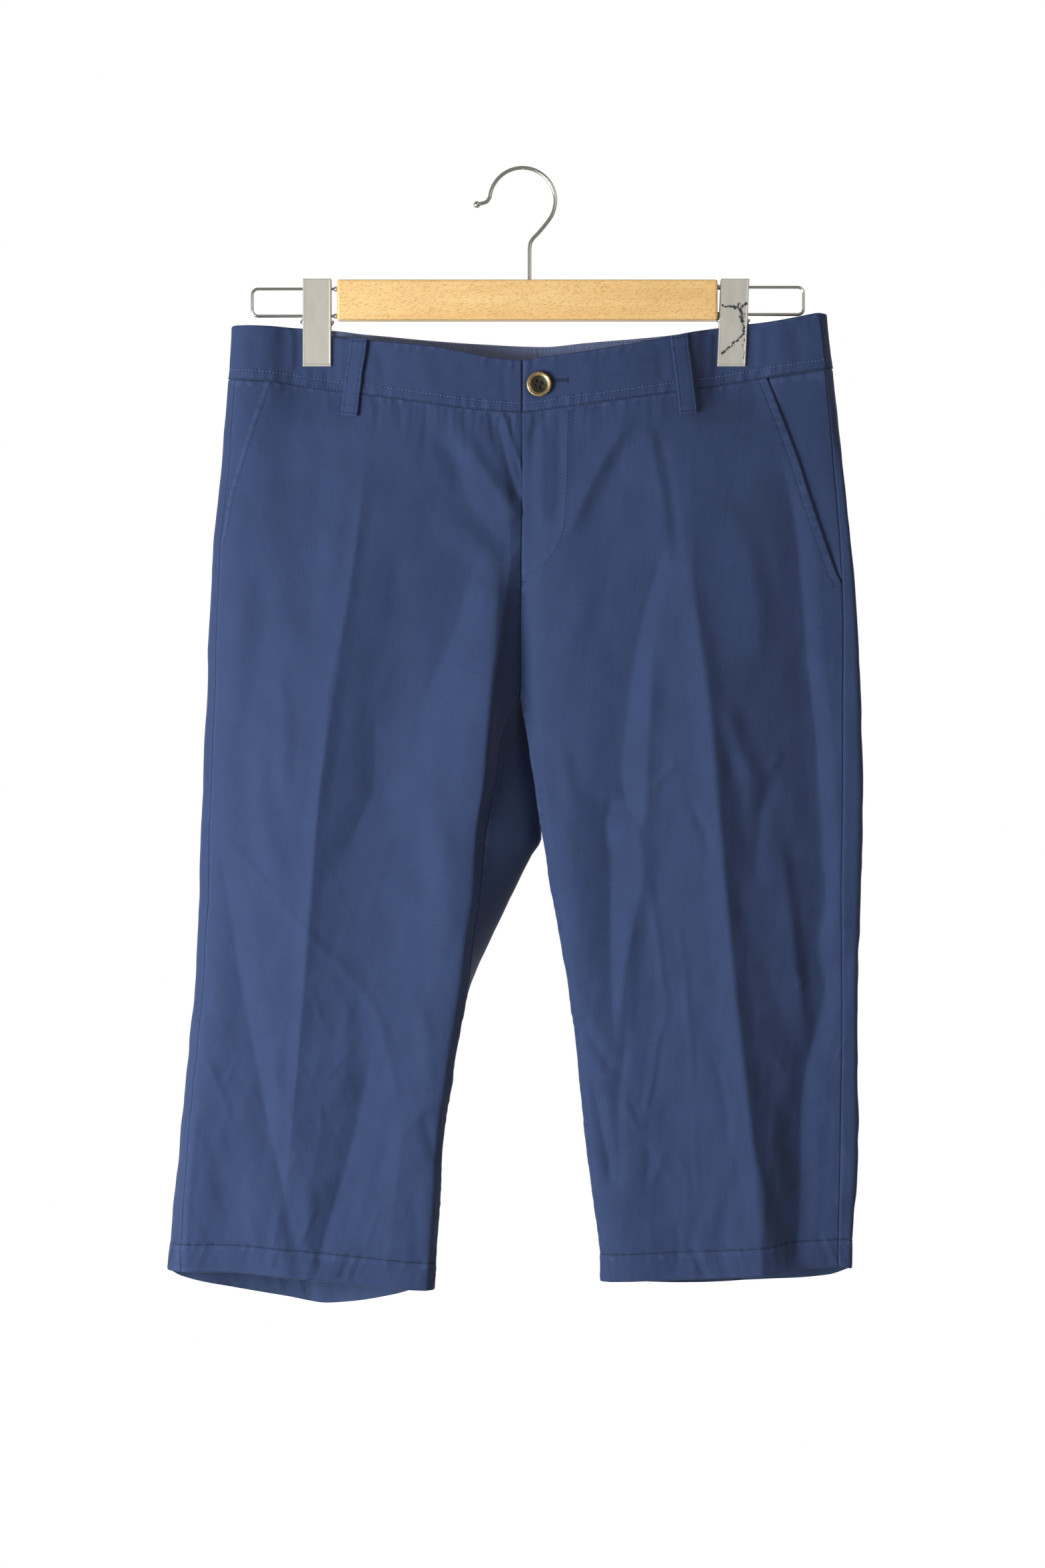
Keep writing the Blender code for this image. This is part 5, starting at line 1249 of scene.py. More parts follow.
def band_relief(sheet, x, seed):
    """A folded top edge, the ridge of the seam inside and the puckers along the stitches."""
    relief = -0.45 * roll(sheet.top, 1.3) - 0.25 * roll(sheet.bottom, 0.9)
    relief += 0.12 * (1 - smooth_step(BAND_STITCH - 0.6, BAND_STITCH + 1.2, sheet.bottom))
    relief -= 0.22 * groove(sheet.bottom, BAND_STITCH, 0.7)
    relief += 0.20 * uneven(x, 8.6, seed) * band_between(1.4, BAND_STITCH, 4.0, sheet.bottom)
    relief += 0.10 * uneven(x, 5.1, seed + 2) * groove(sheet.bottom, BAND_STITCH, 2.6)
    relief += 0.16 * uneven(x, 9.0, seed + 5) * band_between(1.0, 3.0, 7.0, sheet.top)
    return relief


def band_rows(sheet, outer):
    """The pale row above the waist seam and the dark row in it."""
    upper = run_at(sheet.bottom, outer, sheet.normals, BAND_STITCH)
    lower = run_at(sheet.bottom, outer, sheet.normals, 0.5)
    return (stitch_row(*upper, share=0.66, radius=0.27, sink=0.14),
            stitch_row(*lower, share=0.45, radius=0.3, sink=0.2))


def band_front(side, half):
    """A front length of the waistband; the right one runs on behind the left as button extension."""
    plain = spaced([0, 0.08, 1, 2, 3, 4, 4.9, 5], [4, 16, 34, 34, 34, 26, 6])
    if half > 0:
        stations = plain
    else:
        reach = station_at(1, np.linspace(1.0, BUTTON_EXTENSION, 22), np.full(22, WAIST_LEVEL))
        tuck_end = station_at(-1, [-BUTTON_TUCK], [WAIST_LEVEL])[0]
        stations = np.concatenate([-reach[::-1], plain])
    v, u = np.meshgrid(BAND_ROWS, stations, indexing="ij")
    z = np.where(u < 0, band_height(1, np.abs(u), v), band_height(half, np.abs(u), v))
    sheet = lay(half, u, z)
    x = sheet.points[..., 0]
    seed = 11.9 + half
    tucked = 1 - smooth_step(0.0, tuck_end, u) if half < 0 else 0.0
    lift = fold_lift(BAND_FRONT_FOLDS, x, z) * flat_share(x, z) + 0.25 * rumple(x, z, seed)
    relief = band_relief(sheet, x, seed)
    if half > 0:
        relief -= 0.4 * roll(sheet.first, 1.0)
        relief += 0.15 * band_between(1.2, 3.0, 1.2, sheet.first)
        relief -= 0.5 * groove(np.hypot(x - BUTTON_X, (z - BUTTON_HEIGHT)), 6.0, 5.0)
    lift = (lift + relief) * (1 - tucked) - (BAND_WALL + TUCK_GAP) * tucked
    made, outer = shell_of("cloth_waistband_front_" + side, sheet, lift, wear_and_shade_of(relief), BAND_WALL,
                           BAND_FACE, seed)
    as_cloth(made, "waistband_front_" + side)
    shown = u[0] >= 0
    seen = Lay(*(part[:, shown] for part in sheet))
    upper, lower = band_rows(seen, outer[:, shown])
    stitching("stitching_waistband_front_%s_pale" % side, [upper], THREAD_PALE)
    stitching("stitching_waistband_front_" + side, [lower], THREAD)
    return outer


def band_back():
    """The back length of the waistband, its inner face crushed into fine upright pleats."""
    stations = spaced([5, 5.3, 6, 7, 8, 9, 10, 10.93, 11], [6, 14, 78, 78, 74, 70, 40, 3])
    v, u = np.meshgrid(BAND_ROWS, stations, indexing="ij")
    halves = []
    for half in (-1, 1):
        z = band_height(half, u, v)
        halves.append((z, cloth(half, u, z), cloth_normal(half, u, z)))
    z, points, normals = (np.concatenate([right, left[:, -2::-1]], axis=1)
                          for right, left in zip(*halves))
    sheet = laid(points, normals)
    top, first = sheet.top, sheet.first
    x, seed = sheet.points[..., 0], 14.2
    lift = fold_lift(BAND_BACK_FOLDS, x, z) * flat_share(x, z) + 0.25 * rumple(x, z, seed)
    relief = band_relief(sheet, x, seed)
    relief -= 0.35 * groove(x, CENTRE_BACK_X, 0.8)
    outer = sheet.points + normals * (BAND_FACE + lift + relief)[..., None]
    pleats = 0.15 * uneven(first, 3.9, 2.2) + 0.11 * uneven(first, 2.5, 5.1)
    pleats *= smooth_step(0.3, 2.0, top) * flat_share(x, z) * smooth_step(2.0, 8.0, first)
    pleats -= 0.4 * roll(top, 1.0) + 0.15 * groove(top, 1.3, 0.4) + 0.5 * groove(x, CENTRE_BACK_X, 0.7)
    inner = sheet.points + normals * (BAND_FACE + lift - BAND_WALL)[..., None]
    inner -= normals * pleats[..., None]
    # the inner face takes the much paler facing cloth: painted light
    made = cloth_shell("cloth_waistband_back", outer, inner, grain_of(sheet, 512.0), wear_and_shade_of(relief),
                       CLOTH_FACING_PAINTED_LIGHT)
    as_cloth(made, "waistband_back")
    upper, lower = band_rows(sheet, outer)
    facing = stitch_row(*run_at(top, inner, -normals, 1.3), share=0.5)
    stitching("stitching_waistband_back_pale", [upper], THREAD_PALE)
    stitching("stitching_waistband_back", [lower, facing], THREAD)


def belt_loop(spec):
    """A flat strap stitched inside both long edges, its ends turned under and tacked down."""
    rows = spaced([0, 0.05, 0.2, 0.8, 0.95, 1], [7, 10, 34, 10, 7])
    widths = spaced([-0.5, -0.42, -0.28, 0.28, 0.42, 0.5], [4, 6, 8, 6, 4])
    x_line = spec.top_x + (spec.bottom_x - spec.top_x) * rows
    half = 1 if spec.top_x > MIDDLE_LOOP_X else -1
    middle = station_at(half, [spec.top_x], [WAIST_LEVEL], spec.front)
    top = band_height(half, middle, np.zeros(1))[0]
    z_line = top + (spec.bottom - top) * rows
    base = station_at(half, x_line, z_line, spec.front)
    points = cloth(half, base, z_line)
    face = np.mean(cloth_normal(half, base, z_line), axis=0)
    along = points[-1] - points[0]
    length = np.linalg.norm(along)
    side = unit(np.cross(along / length, face))
    run = rows * length
    seed = spec.top_x * 0.1
    rise = LOOP_RISE * np.sin(math.pi * rows) ** 2
    carried = BAND_FACE + LOOP_SEAT
    offsets = (widths * LOOP_WIDTH)[None, :] + 0.22 * uneven(run, 17.0, seed)[:, None]
    inner = points[:, None] + side * offsets[..., None] + face * (carried + rise)[:, None, None]
    from_edge = (0.5 - np.abs(widths))[None, :] * LOOP_WIDTH + 0 * run[:, None]
    from_end = np.minimum(run, length - run)[:, None] + 0 * widths[None, :]
    thick = LOOP_WALL - 0.45 * roll(from_edge, 0.8) - 0.16 * groove(from_edge, LOOP_STITCH, 0.6)
    thick += 0.30 * (1 - smooth_step(5.5, 7.5, from_end)) - 0.40 * roll(from_end, 1.2)
    thick -= 0.30 * groove(from_end, 1.8, 0.6)
    thick += 0.09 * uneven(run, 6.3, seed + 1)[:, None] * band_between(1.0, 3.2, 1.0, from_edge)
    outer = inner + face * thick[..., None]
    grain = np.stack([offsets + 60.0 * seed, run[:, None] + 0 * offsets, 0 * offsets], axis=-1)
    made = cloth_shell(spec.name.replace("belt", "cloth_belt"), outer, inner, grain,
                       wear_and_shade_of(thick - LOOP_WALL))
    as_cloth(made, spec.name)
    facings = np.broadcast_to(face, outer.shape)
    across = (widths[None, :] + 0.5) * LOOP_WIDTH + 0 * run[:, None]
    rows_of = [stitch_row(*run_at(across, outer, facings, place, down=False), pitch=2.3, share=0.5,
                          radius=0.16)
               for place in (LOOP_STITCH, LOOP_WIDTH - LOOP_STITCH)]
    reach = run[:, None] + 0 * widths[None, :]
    rows_of += [stitch_row(*run_at(reach, outer, facings, place), pitch=1.0, share=1.15)
                for place in (LOOP_TACK, length - LOOP_TACK)]
    stitching(spec.name.replace("belt_loop", "stitching_loop"), rows_of, THREAD)


# ---------------------------------------------------------------- button and hanger

def turned(name, profile, centre, facing, finish, segments, pits=None):
    """A turned piece: (radius, height) pairs spun about `facing`; `pits` sinks its face."""
    facing = unit(np.asarray(facing, float))
    first = unit(np.cross(UPWARD, facing))
    second = np.cross(facing, first)
    angles = np.arange(segments) * 2 * math.pi / segments
    points, rings = [], []
    for radius, height in profile:
        spots = [(radius * math.cos(a), radius * math.sin(a)) for a in angles] if radius else [(0.0, 0.0)]
        rings.append(range(len(points), len(points) + len(spots)))
        for across, up in spots:
            sunk = pits(across, up) if pits and height > 0 else 0.0
            points.append(np.asarray(centre) + facing * (height - sunk) + first * across + second * up)
    faces = []
    for low, high in zip(rings[:-1], rings[1:]):
        for k in range(segments):
            n = (k + 1) % segments
            corners = [low[k % len(low)], low[n % len(low)], high[n % len(high)], high[k % len(high)]]
            faces.append(tuple(dict.fromkeys(corners)))
    return piece_object(name, points, faces, [finish])


def as_hard(piece, node):
    """A hard piece, in the place of the solid it stands for."""
    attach(piece, "root")
    if node:
        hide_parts(node)


def button_pits(across, up):
    """Four round holes through the dish."""
    away = min(math.hypot(across - x, up - z) for x, z in HOLES)
    return HOLE_DEPTH * (1 - float(smooth_step(HOLE_RADIUS * 0.8, HOLE_RADIUS * 1.05, away)))


def waist_button(cast):
    """A four-hole button: a dished dark face inside a worn antique rim, sewn on with navy thread."""
    _, facings = cast.line(((BUTTON_X - 3, BUTTON_HEIGHT), (BUTTON_X + 3, BUTTON_HEIGHT)), step=3.0)
    facing = unit(np.mean(facings, axis=0))
    u = station_at(1, [BUTTON_X], [BUTTON_HEIGHT])
    seat = cloth(1, u, [BUTTON_HEIGHT])[0] + facing * (BAND_FACE + 0.35)
    radius = BUTTON_WIDTH / 2
    profile = [(0, 0.0), (radius * 0.7, 0.0), (radius * 0.93, 0.45)]
    profile += [(radius - 0.95 + 0.95 * math.cos(a), 2.0 + BUTTON_RIM * math.sin(a))
                for a in np.linspace(-1.1, 1.9, 16)]
    inside = profile[-1][0] - 0.15
    profile += [(r, BUTTON_DISH + BUTTON_RIM * (r / inside) ** 3.2)
                for r in np.linspace(inside, 0.12, 60)]
    profile += [(0, BUTTON_DISH)]
    made = turned("button_disc", profile, seat, facing, BRASS, 96, pits=button_pits)
    give_attribute(made, "dish", "FLOAT", [float(smooth_step(radius - 1.7, radius - 3.4, r))
                                           for r in ring_radii(made, seat, facing)])
    as_hard(made, "waist_button")
    right = unit(np.cross(UPWARD, facing))
    up = np.cross(facing, right)
    rows = []
    for across, level in HOLES:
        for shift in (-0.3, 0.1, 0.45):
            ends = [seat + right * (across + shift + lean) + up * (level + 0.4 * lean) + facing * 1.05
                    for lean in (-0.5, 0.5)]
            rows.append(stitch_row(np.array(ends), np.array([facing, facing]), pitch=1.0, share=1.0,
                                   radius=0.16, sink=0.25))
    stitching("button_thread", rows, THREAD)


def ring_radii(made, seat, facing):
    """How far each point of a turned piece stands from its axis."""
    points = np.empty(3 * len(made.data.vertices))
    made.data.vertices.foreach_get("co", points)
    out = points.reshape(-1, 3) / MM - np.asarray(seat)
    return np.linalg.norm(out - np.outer(out @ facing, facing), axis=1)


def buttonhole(cast):
    """The worked end of the buttonhole that shows beside the button."""
    rows = []
    for level in (-HOLE_LIP, HOLE_LIP):
        for place in np.arange(BUTTON_X + BUTTON_WIDTH / 2 - 2.0, HOLE_END, HOLE_PITCH):
            marks = ((place, HOLE_HEIGHT + level - 0.5), (place, HOLE_HEIGHT + level + 0.5))
            rows.append(stitch_row(*cast.line(marks, step=0.5), pitch=0.95, share=1.1, radius=0.17))
    for shift in (0.0, 0.4):
        marks = ((HOLE_END + shift, HOLE_HEIGHT - HOLE_TACK), (HOLE_END + shift, HOLE_HEIGHT + HOLE_TACK))
        rows.append(stitch_row(*cast.line(marks, step=0.5), pitch=1.0, share=1.2))
    stitching("buttonhole_stitching", rows, THREAD)


def wire(name, route, diameter, node, sides=5):
    """A drawn steel wire along a route of points."""
    curve = bpy.data.curves.new(name, "CURVE")
    curve.dimensions = "3D"
    curve.bevel_depth = diameter / 2 * MM
    curve.bevel_resolution = sides
    curve.use_fill_caps = True
    line = curve.splines.new("POLY")
    line.points.add(len(route) - 1)
    for point, place in zip(line.points, route):
        point.co = (place[0] * MM, place[1] * MM, place[2] * MM, 1.0)
    line.use_smooth = True
    curve.materials.append(STEEL)
    made = bpy.data.objects.new(name, curve)
    bpy.context.scene.collection.objects.link(made)
    as_hard(made, node)


def arc(centre, radius, start, end, steps):
    """Points of an arc in the XZ plane, angles in degrees from +X towards +Z."""
    angles = np.radians(np.linspace(start, end, steps + 1))
    return [(centre[0] + radius * math.cos(a), 0.0, centre[1] + radius * math.sin(a)) for a in angles]


def eased_route(points, steps):
    """A smooth curve through the points of a wire's bend."""
    points = np.array(points, float)
    run = run_of(points)
    return [tuple(p) for p in follow(run, points, np.linspace(0, run[-1], steps))]


def hanger_hook():
    """A question-mark hook with a ball on its open end, its stem set in the bar."""
    bend = arc((0.0, -HOOK_BEND), HOOK_BEND + HOOK_WIRE / 2, HOOK_OPENING, HOOK_TURN, 70)
    tip = eased_route([HOOK_TIP, HOOK_LIP, bend[0]], 8)[:-1]
    neck = eased_route([bend[-2], bend[-1], *HOOK_NECK], 26)[3:]
    route = tip + bend[:-1] + neck + [(HOOK_STEM_X, 0.0, BAR_TOP - WIRE_SOCKET + 1.0)]
    wire("hook_wire", route, HOOK_WIRE, "hanger_hook")
    turns = np.radians(np.linspace(-90, BALL_FLAT, 18))
    profile = [(0, -BALL_RADIUS)]
    profile += [(BALL_RADIUS * math.cos(a), BALL_RADIUS * math.sin(a)) for a in turns[1:]]
    flat = profile[-1][1]
    profile.append((0, flat))
    along = unit(np.array(BALL_AXIS))
    seat = np.array(HOOK_TIP) - along * (flat + 0.1)
    as_hard(turned("hook_ball", profile, seat, along, STEEL, 32), "hook_tip_ball")


def hanger_loop(side, half):
    """One U-shaped wire, its two legs held in the end of the bar by small collars."""
    upper, lower = LOOP_HEIGHTS[half]
    corner_x = LOOP_ENDS[half] - half * (LOOP_WIRE / 2 + LOOP_CORNER)
    bar_end = BAR_RIGHT if half > 0 else BAR_LEFT
    inside = bar_end - half * (WIRE_SOCKET - 1.0)
    turn = 90 * half
    upper_arc = arc((corner_x, upper - LOOP_CORNER), LOOP_CORNER, 90, 90 - turn, 10)
    lower_arc = arc((corner_x, lower + LOOP_CORNER), LOOP_CORNER, 90 - turn, 90 - 2 * turn, 10)
    route = [(inside, 0.0, upper)] + upper_arc + lower_arc + [(inside, 0.0, lower)]
    wire("loop_wire_" + side, route, LOOP_WIRE, "hanger_loop_" + side)
    for level, height in (("upper", upper), ("lower", lower)):
        radius = COLLAR_WIDTH / 2
        profile = [(0, 0.0), (radius, 0.0), (radius, COLLAR_LENGTH * 0.6), (radius * 0.86, COLLAR_LENGTH),
                   (0, COLLAR_LENGTH)]
        made = turned("wire_collar_%s_%s" % (side, level), profile, (bar_end, 0.0, height),
                      (half, 0.0, 0.0), STEEL, 24)
        as_hard(made, None)


def leaning(points, half):
    """A clip's points set at its slant, about the top of the clip."""
    points = np.array(points, float)
    points[..., 0] += CLIP_LEAN[half] * (points[..., 2] - CLIP_TOP)
    return points


def clip_plate(side, half, outward, finish):
    """A pressed plate with a raised rim at its sides and foot, its lip turned in to grip."""
    place = side + ("_front" if outward < 0 else "_back")
    down = spaced([0, 0.02, 0.06, 0.94, 0.975, 0.99, 1], [3, 3, 26, 4, 3, 3])
    over = spaced([-0.5, -0.47, -0.42, 0.42, 0.47, 0.5], [3, 3, 14, 3, 3])
    height = CLIP_TOP - CLIP_BOTTOM
    s, t = np.meshgrid(down, over, indexing="ij")
    x, z = CLIP_X[half] + t * CLIP_WIDTH, CLIP_TOP - s * height
    from_side = (0.5 - np.abs(t)) * CLIP_WIDTH
    from_foot, from_top = (1 - s) * height, s * height
    face = 0.32 * (1 - smooth_step(0.75, 1.15, from_side)) + 0.38 * (1 - smooth_step(1.2, 1.7, from_foot))
    face = np.minimum(face, 0.4) - 0.4 * roll(from_side, 0.55) - 0.5 * roll(from_foot, 0.7)
    face -= 0.35 * roll(from_top, 0.8)
    face += 0.25 * np.sin(math.pi * s)
    seat = CLIP_SEAT - CLIP_LIP * (1 - smooth_step(2.0, 5.0, from_foot))
    outer = np.stack([x, outward * (CLIP_SEAT + CLIP_WALL + face - 0.25), z], axis=-1)
    inner = np.stack([x, outward * seat, z], axis=-1)
    made, _ = closed_shell("clip_plate_" + place, leaning(outer, half), leaning(inner, half), [finish],
                           PLATE_ROUND)
    as_hard(made, "clip_" + place)


def clip_spring(side, half):
    """The coiled spring and its pin, on which the two plates of a clip turn."""
    height = LOOP_HEIGHTS[half][1] - LOOP_WIRE / 2 - CLIP_SPRING_GAP - CLIP_SPRING / 2
    shift = CLIP_LEAN[half] * (height - CLIP_TOP)
    reach = CLIP_WIDTH / 2 + 1.0
    radius = CLIP_SPRING / 2 - SPRING_WIRE / 2
    angles = np.linspace(0.0, 2 * math.pi * SPRING_TURNS, SPRING_TURNS * 16 + 1)
    along = np.linspace(-reach, reach, len(angles))
    along += SPRING_WANDER * np.sin(np.linspace(0, 2 * math.pi, len(angles)))
    route = [(CLIP_X[half] + shift + a, radius * math.cos(t), height + radius * math.sin(t))
             for a, t in zip(along, angles)]
    wire("clip_coil_" + side, route, SPRING_WIRE, "clip_%s_spring" % side, sides=2)
    pin = [(CLIP_X[half] + shift + a, 0.0, height) for a in (-reach - 0.9, reach + 0.9)]
    wire("clip_pin_" + side, pin, PIN_WIRE, "clip_%s_spring" % side, sides=3)


# ---------------------------------------------------------------- materials

class Term:
    """A value in a material that can stand in sums and products."""

    def __init__(self, nodes, socket):
        self.nodes = nodes
        self.socket = socket

    def __add__(self, other):
        return self.nodes.maths("ADD", self, other)

    def __radd__(self, other):
        return self.nodes.maths("ADD", other, self)

    def __sub__(self, other):
        return self.nodes.maths("SUBTRACT", self, other)

    def __rsub__(self, other):
        return self.nodes.maths("SUBTRACT", other, self)

    def __mul__(self, other):
        return self.nodes.maths("MULTIPLY", self, other)

    def __rmul__(self, other):
        return self.nodes.maths("MULTIPLY", other, self)

    def __pow__(self, other):
        return self.nodes.maths("POWER", self, other)


class Nodes:
    """The nodes of a material or of the surround."""

    def __init__(self, tree):
        self.tree = tree

    def feed(self, socket, value):
        if isinstance(value, Term):
            self.tree.links.new(value.socket, socket)
        else:
            socket.default_value = value

    def node(self, kind, settings, inputs, output=0):
        """A node of a kind with its settings, fed with values or terms; gives one of its outputs."""
        made = self.tree.nodes.new(kind)
        for key, value in settings.items():
            setattr(made, key, value)
        for key, value in inputs.items():
            self.feed(made.inputs[key], value)
        return Term(self, made.outputs[output])

    def maths(self, operation, one, other):
        return self.node("ShaderNodeMath", {"operation": operation}, {0: one, 1: other})

    def mix(self, share, one, other):
        """A colour between two, both given as terms or (red, green, blue, 1)."""
        return self.node("ShaderNodeMix", {"data_type": "RGBA"}, {0: share, 6: one, 7: other}, 2)

    def step(self, value, low, high, to_low=0.0, to_high=1.0):
        """An eased rise from to_low to to_high while the value goes from low to high."""
        return self.node("ShaderNodeMapRange", {"interpolation_type": "SMOOTHSTEP"},
                         {"Value": value, "From Min": low, "From Max": high, "To Min": to_low,
                          "To Max": to_high})


class Surface(Nodes):
    """A Principled material built from terms."""

    def __init__(self, name, **constants):
        self.made = bpy.data.materials.new(name)
        self.made.use_nodes = True
        super().__init__(self.made.node_tree)
        self.shader = self.tree.nodes["Principled BSDF"]
        for socket, value in constants.items():
            self.shader.inputs[socket.replace("_", " ")].default_value = value

    def place(self):
        """Where the point is on the object, in metres."""
        return self.node("ShaderNodeTexCoord", {}, {}, "Object")

    def attribute(self, name, output="Fac"):
        return self.node("ShaderNodeAttribute", {"attribute_name": name}, {}, output)

    def stretched(self, vector, scale, turn=(0.0, 0.0, 0.0)):
        return self.node("ShaderNodeMapping", {}, {"Vector": vector, "Scale": scale, "Rotation": turn})

    def noise(self, vector, detail=2.0, roughness=0.5):
        return self.node("ShaderNodeTexNoise", {}, {"Vector": vector, "Scale": 1.0, "Detail": detail,
                                                    "Roughness": roughness})

    def wave(self, vector, axis, scale):
        return self.node("ShaderNodeTexWave", {"bands_direction": axis},
                         {"Vector": vector, "Scale": scale})

    def finish(self, colour, roughness, height=None):
        """Joins the terms to the shader; `height` is the surface's relief in millimetres."""
        self.feed(self.shader.inputs["Base Color"], colour)
        self.feed(self.shader.inputs["Roughness"], roughness)
        if height is not None:
            bump = self.node("ShaderNodeBump", {}, {"Strength": 1.0, "Distance": MM, "Height": height})
            self.feed(self.shader.inputs["Normal"], bump)
        return self.made


def navy_cloth(name, pale, dark, worn):
    """Fine plain-woven cotton: uneven upright yarns, soft cloudy dyeing, paler where it rubs, with painted
    shade darkening its grooves.
    """
    surface = Surface(name, Specular_IOR_Level=0.2, Sheen_Weight=0.12, Sheen_Roughness=0.4)
    grain = surface.attribute("grain", "Vector")
    fade = surface.attribute("fade")
    slub = surface.noise(surface.stretched(grain, (2.2, 0.05, 1.0)), detail=3.0, roughness=0.6)
    yarn = surface.noise(surface.stretched(grain, (0.09, 1.7, 1.0)), detail=2.0)
    cloud = surface.noise(surface.stretched(grain, (0.035, 0.028, 1.0)), detail=3.0)
    fleck = surface.noise(surface.stretched(grain, (1.4, 1.1, 1.0)), detail=2.0)
    warp = surface.wave(grain, "X", WAVE_OF_YARN / YARN)
    weft = surface.wave(grain, "Y", WAVE_OF_YARN / YARN)
    tone = 0.5 + (slub - 0.5) * 0.7 + (yarn - 0.5) * 0.35 + (cloud - 0.5) * 0.3 + (fleck - 0.5) * 0.45
    cloth = surface.mix(surface.step(tone, 0.2, 0.8), dark, pale)
    rubbed = surface.step(fade * 0.8 + (fleck - 0.5) * 0.7, 0.3, 1.2, 0.0, 0.4)
    # painted shade: where fade is below zero, in grooves and seams, the colour is darkened towards a deeper
    # navy
    sunk = surface.step(fade * -1.0, 0.25, 1.0, 0.0, 0.5)
    cloth = surface.mix(rubbed, cloth, worn)
    cloth = surface.mix(sunk, cloth, (dark[0] * 0.45, dark[1] * 0.45, dark[2] * 0.5, 1.0))
    relief = warp * weft * 0.012 + slub * 0.09 + yarn * 0.05 + fleck * 0.05
    return surface.finish(colour=cloth, roughness=surface.step(slub, 0.2, 0.8, 0.74, 0.86), height=relief)


def thread(name, pale, dark):
    """Twisted sewing thread."""
    surface = Surface(name, Specular_IOR_Level=0.3, Sheen_Weight=0.05)
    place = surface.place()
    ply = surface.noise(surface.stretched(place, (2600.0, 2600.0, 2600.0)), detail=1.0)
    return surface.finish(colour=surface.mix(ply, dark, pale), roughness=0.7, height=ply * 0.05)


def beech():
    """Lacquered beech: broad faint rings, and short slanting darker flecks."""
    surface = Surface("beech_wood_grain", Specular_IOR_Level=0.5, Coat_Weight=0.15, Coat_Roughness=0.25)
    place = surface.place()
    rings = surface.noise(surface.stretched(place, (7.0, 60.0, 95.0)), detail=4.0, roughness=0.6)
    haze = surface.noise(surface.stretched(place, (22.0, 30.0, 40.0)), detail=2.0)
    tilted = surface.stretched(place, (1.0, 1.0, 1.0), (0.0, FLECK_TILT, 0.0))
    flecks = surface.noise(surface.stretched(tilted, (420.0, 900.0, 1900.0)), detail=1.0, roughness=0.4)
    fine = surface.noise(surface.stretched(place, (150.0, 1500.0, 2600.0), (0.0, 0.05, 0.0)), detail=2.0)
    wood = surface.mix(surface.step(rings, 0.3, 0.7), *WOOD_RINGS)
    wood = surface.mix(surface.step(haze, 0.35, 0.75, 0.0, 0.35), wood, WOOD_HAZE)
    wood = surface.mix(surface.step(flecks, 0.52, 0.66, 0.0, 0.55), wood, WOOD_FLECK)
    wood = surface.mix(surface.step(fine, 0.55, 0.8, 0.0, 0.16), wood, WOOD_PORE)
    relief = surface.step(flecks, 0.60, 0.72, 0.0, -0.04) + fine * 0.02
    return surface.finish(colour=wood, roughness=surface.step(rings, 0.3, 0.7, 0.42, 0.5), height=relief)


def plated(name, colour, roughness, metallic=1.0, veins=False):
    """Bright metal with faint handling marks; some clips carry dark marbled veins."""
    surface = Surface(name, Metallic=metallic)
    place = surface.place()
    smear = surface.noise(surface.stretched(place, (160.0, 160.0, 50.0)), detail=3.0)
    scratch = surface.noise(surface.stretched(place, (2400.0, 2400.0, 90.0), (0.0, 0.5, 0.0)), detail=1.0)
    tone = surface.mix(surface.step(smear, 0.3, 0.75), colour, tuple(0.86 * c for c in colour[:3]) + (1.0,))
    if veins:
        tone = surface.mix(vein_share(surface, place), tone, VEIN_TONE)
    rough = surface.step(smear, 0.3, 0.8, roughness, roughness + 0.10)
    return surface.finish(colour=tone, roughness=rough, height=scratch * 0.003)


def vein_share(surface, place):
    """Dark veins with feathered sides along the table of veins."""
    x, z = (surface.node("ShaderNodeSeparateXYZ", {}, {"Vector": place}, axis) for axis in ("X", "Z"))
    wander = surface.noise(surface.stretched(place, (260.0, 260.0, 260.0)), detail=4.0, roughness=0.7)
    drift = surface.noise(surface.stretched(place, (230.0, 300.0, 230.0), (0.0, 1.0, 0.0)), detail=4.0,
                          roughness=0.7)
    x = x * (1 / MM) + (wander - 0.5) * VEIN_WANDER
    z = z * (1 / MM) + (drift - 0.5) * VEIN_WANDER
    feather = surface.noise(surface.stretched(place, (520.0, 520.0, 420.0)), detail=5.0, roughness=0.75)
    dark = 0.0
    for vein in VEINS:
        run_x, run_z = (b - a for a, b in zip(vein.start, vein.end))
        from_x, from_z = x - vein.start[0], z - vein.start[1]
        share = surface.node("ShaderNodeClamp", {}, {"Value": (from_x * run_x + from_z * run_z)
                                                     * (1 / (run_x ** 2 + run_z ** 2))})
        away_x, away_z = from_x - share * run_x, from_z - share * run_z
        away = (away_x * away_x + away_z * away_z) ** 0.5
        ragged = away * (1 / vein.width) + (feather - 0.5) * VEIN_RAGGED
        dark = surface.maths("MAXIMUM", dark, surface.step(ragged, 0.25, 0.85, 1.0, 0.0))
    return dark


def antique_brass():
    """Worn antique plate, dark in the button's dish."""
    surface = Surface("antique_brass", Metallic=0.85)
    place = surface.place()
    patch = surface.noise(surface.stretched(place, (420.0, 420.0, 420.0)), detail=4.0, roughness=0.65)
    dish = surface.attribute("dish")
    tone = surface.mix(surface.step(patch, 0.3, 0.75), BRASS_DULL, BRASS_BRIGHT)
    tone = surface.mix(surface.step(dish + (patch - 0.5) * 0.5, 0.1, 0.85), tone, DISH_TONE)
    roughness = surface.step(patch, 0.3, 0.7, 0.48, 0.3)
    return surface.finish(colour=tone, roughness=roughness, height=patch * 0.04)


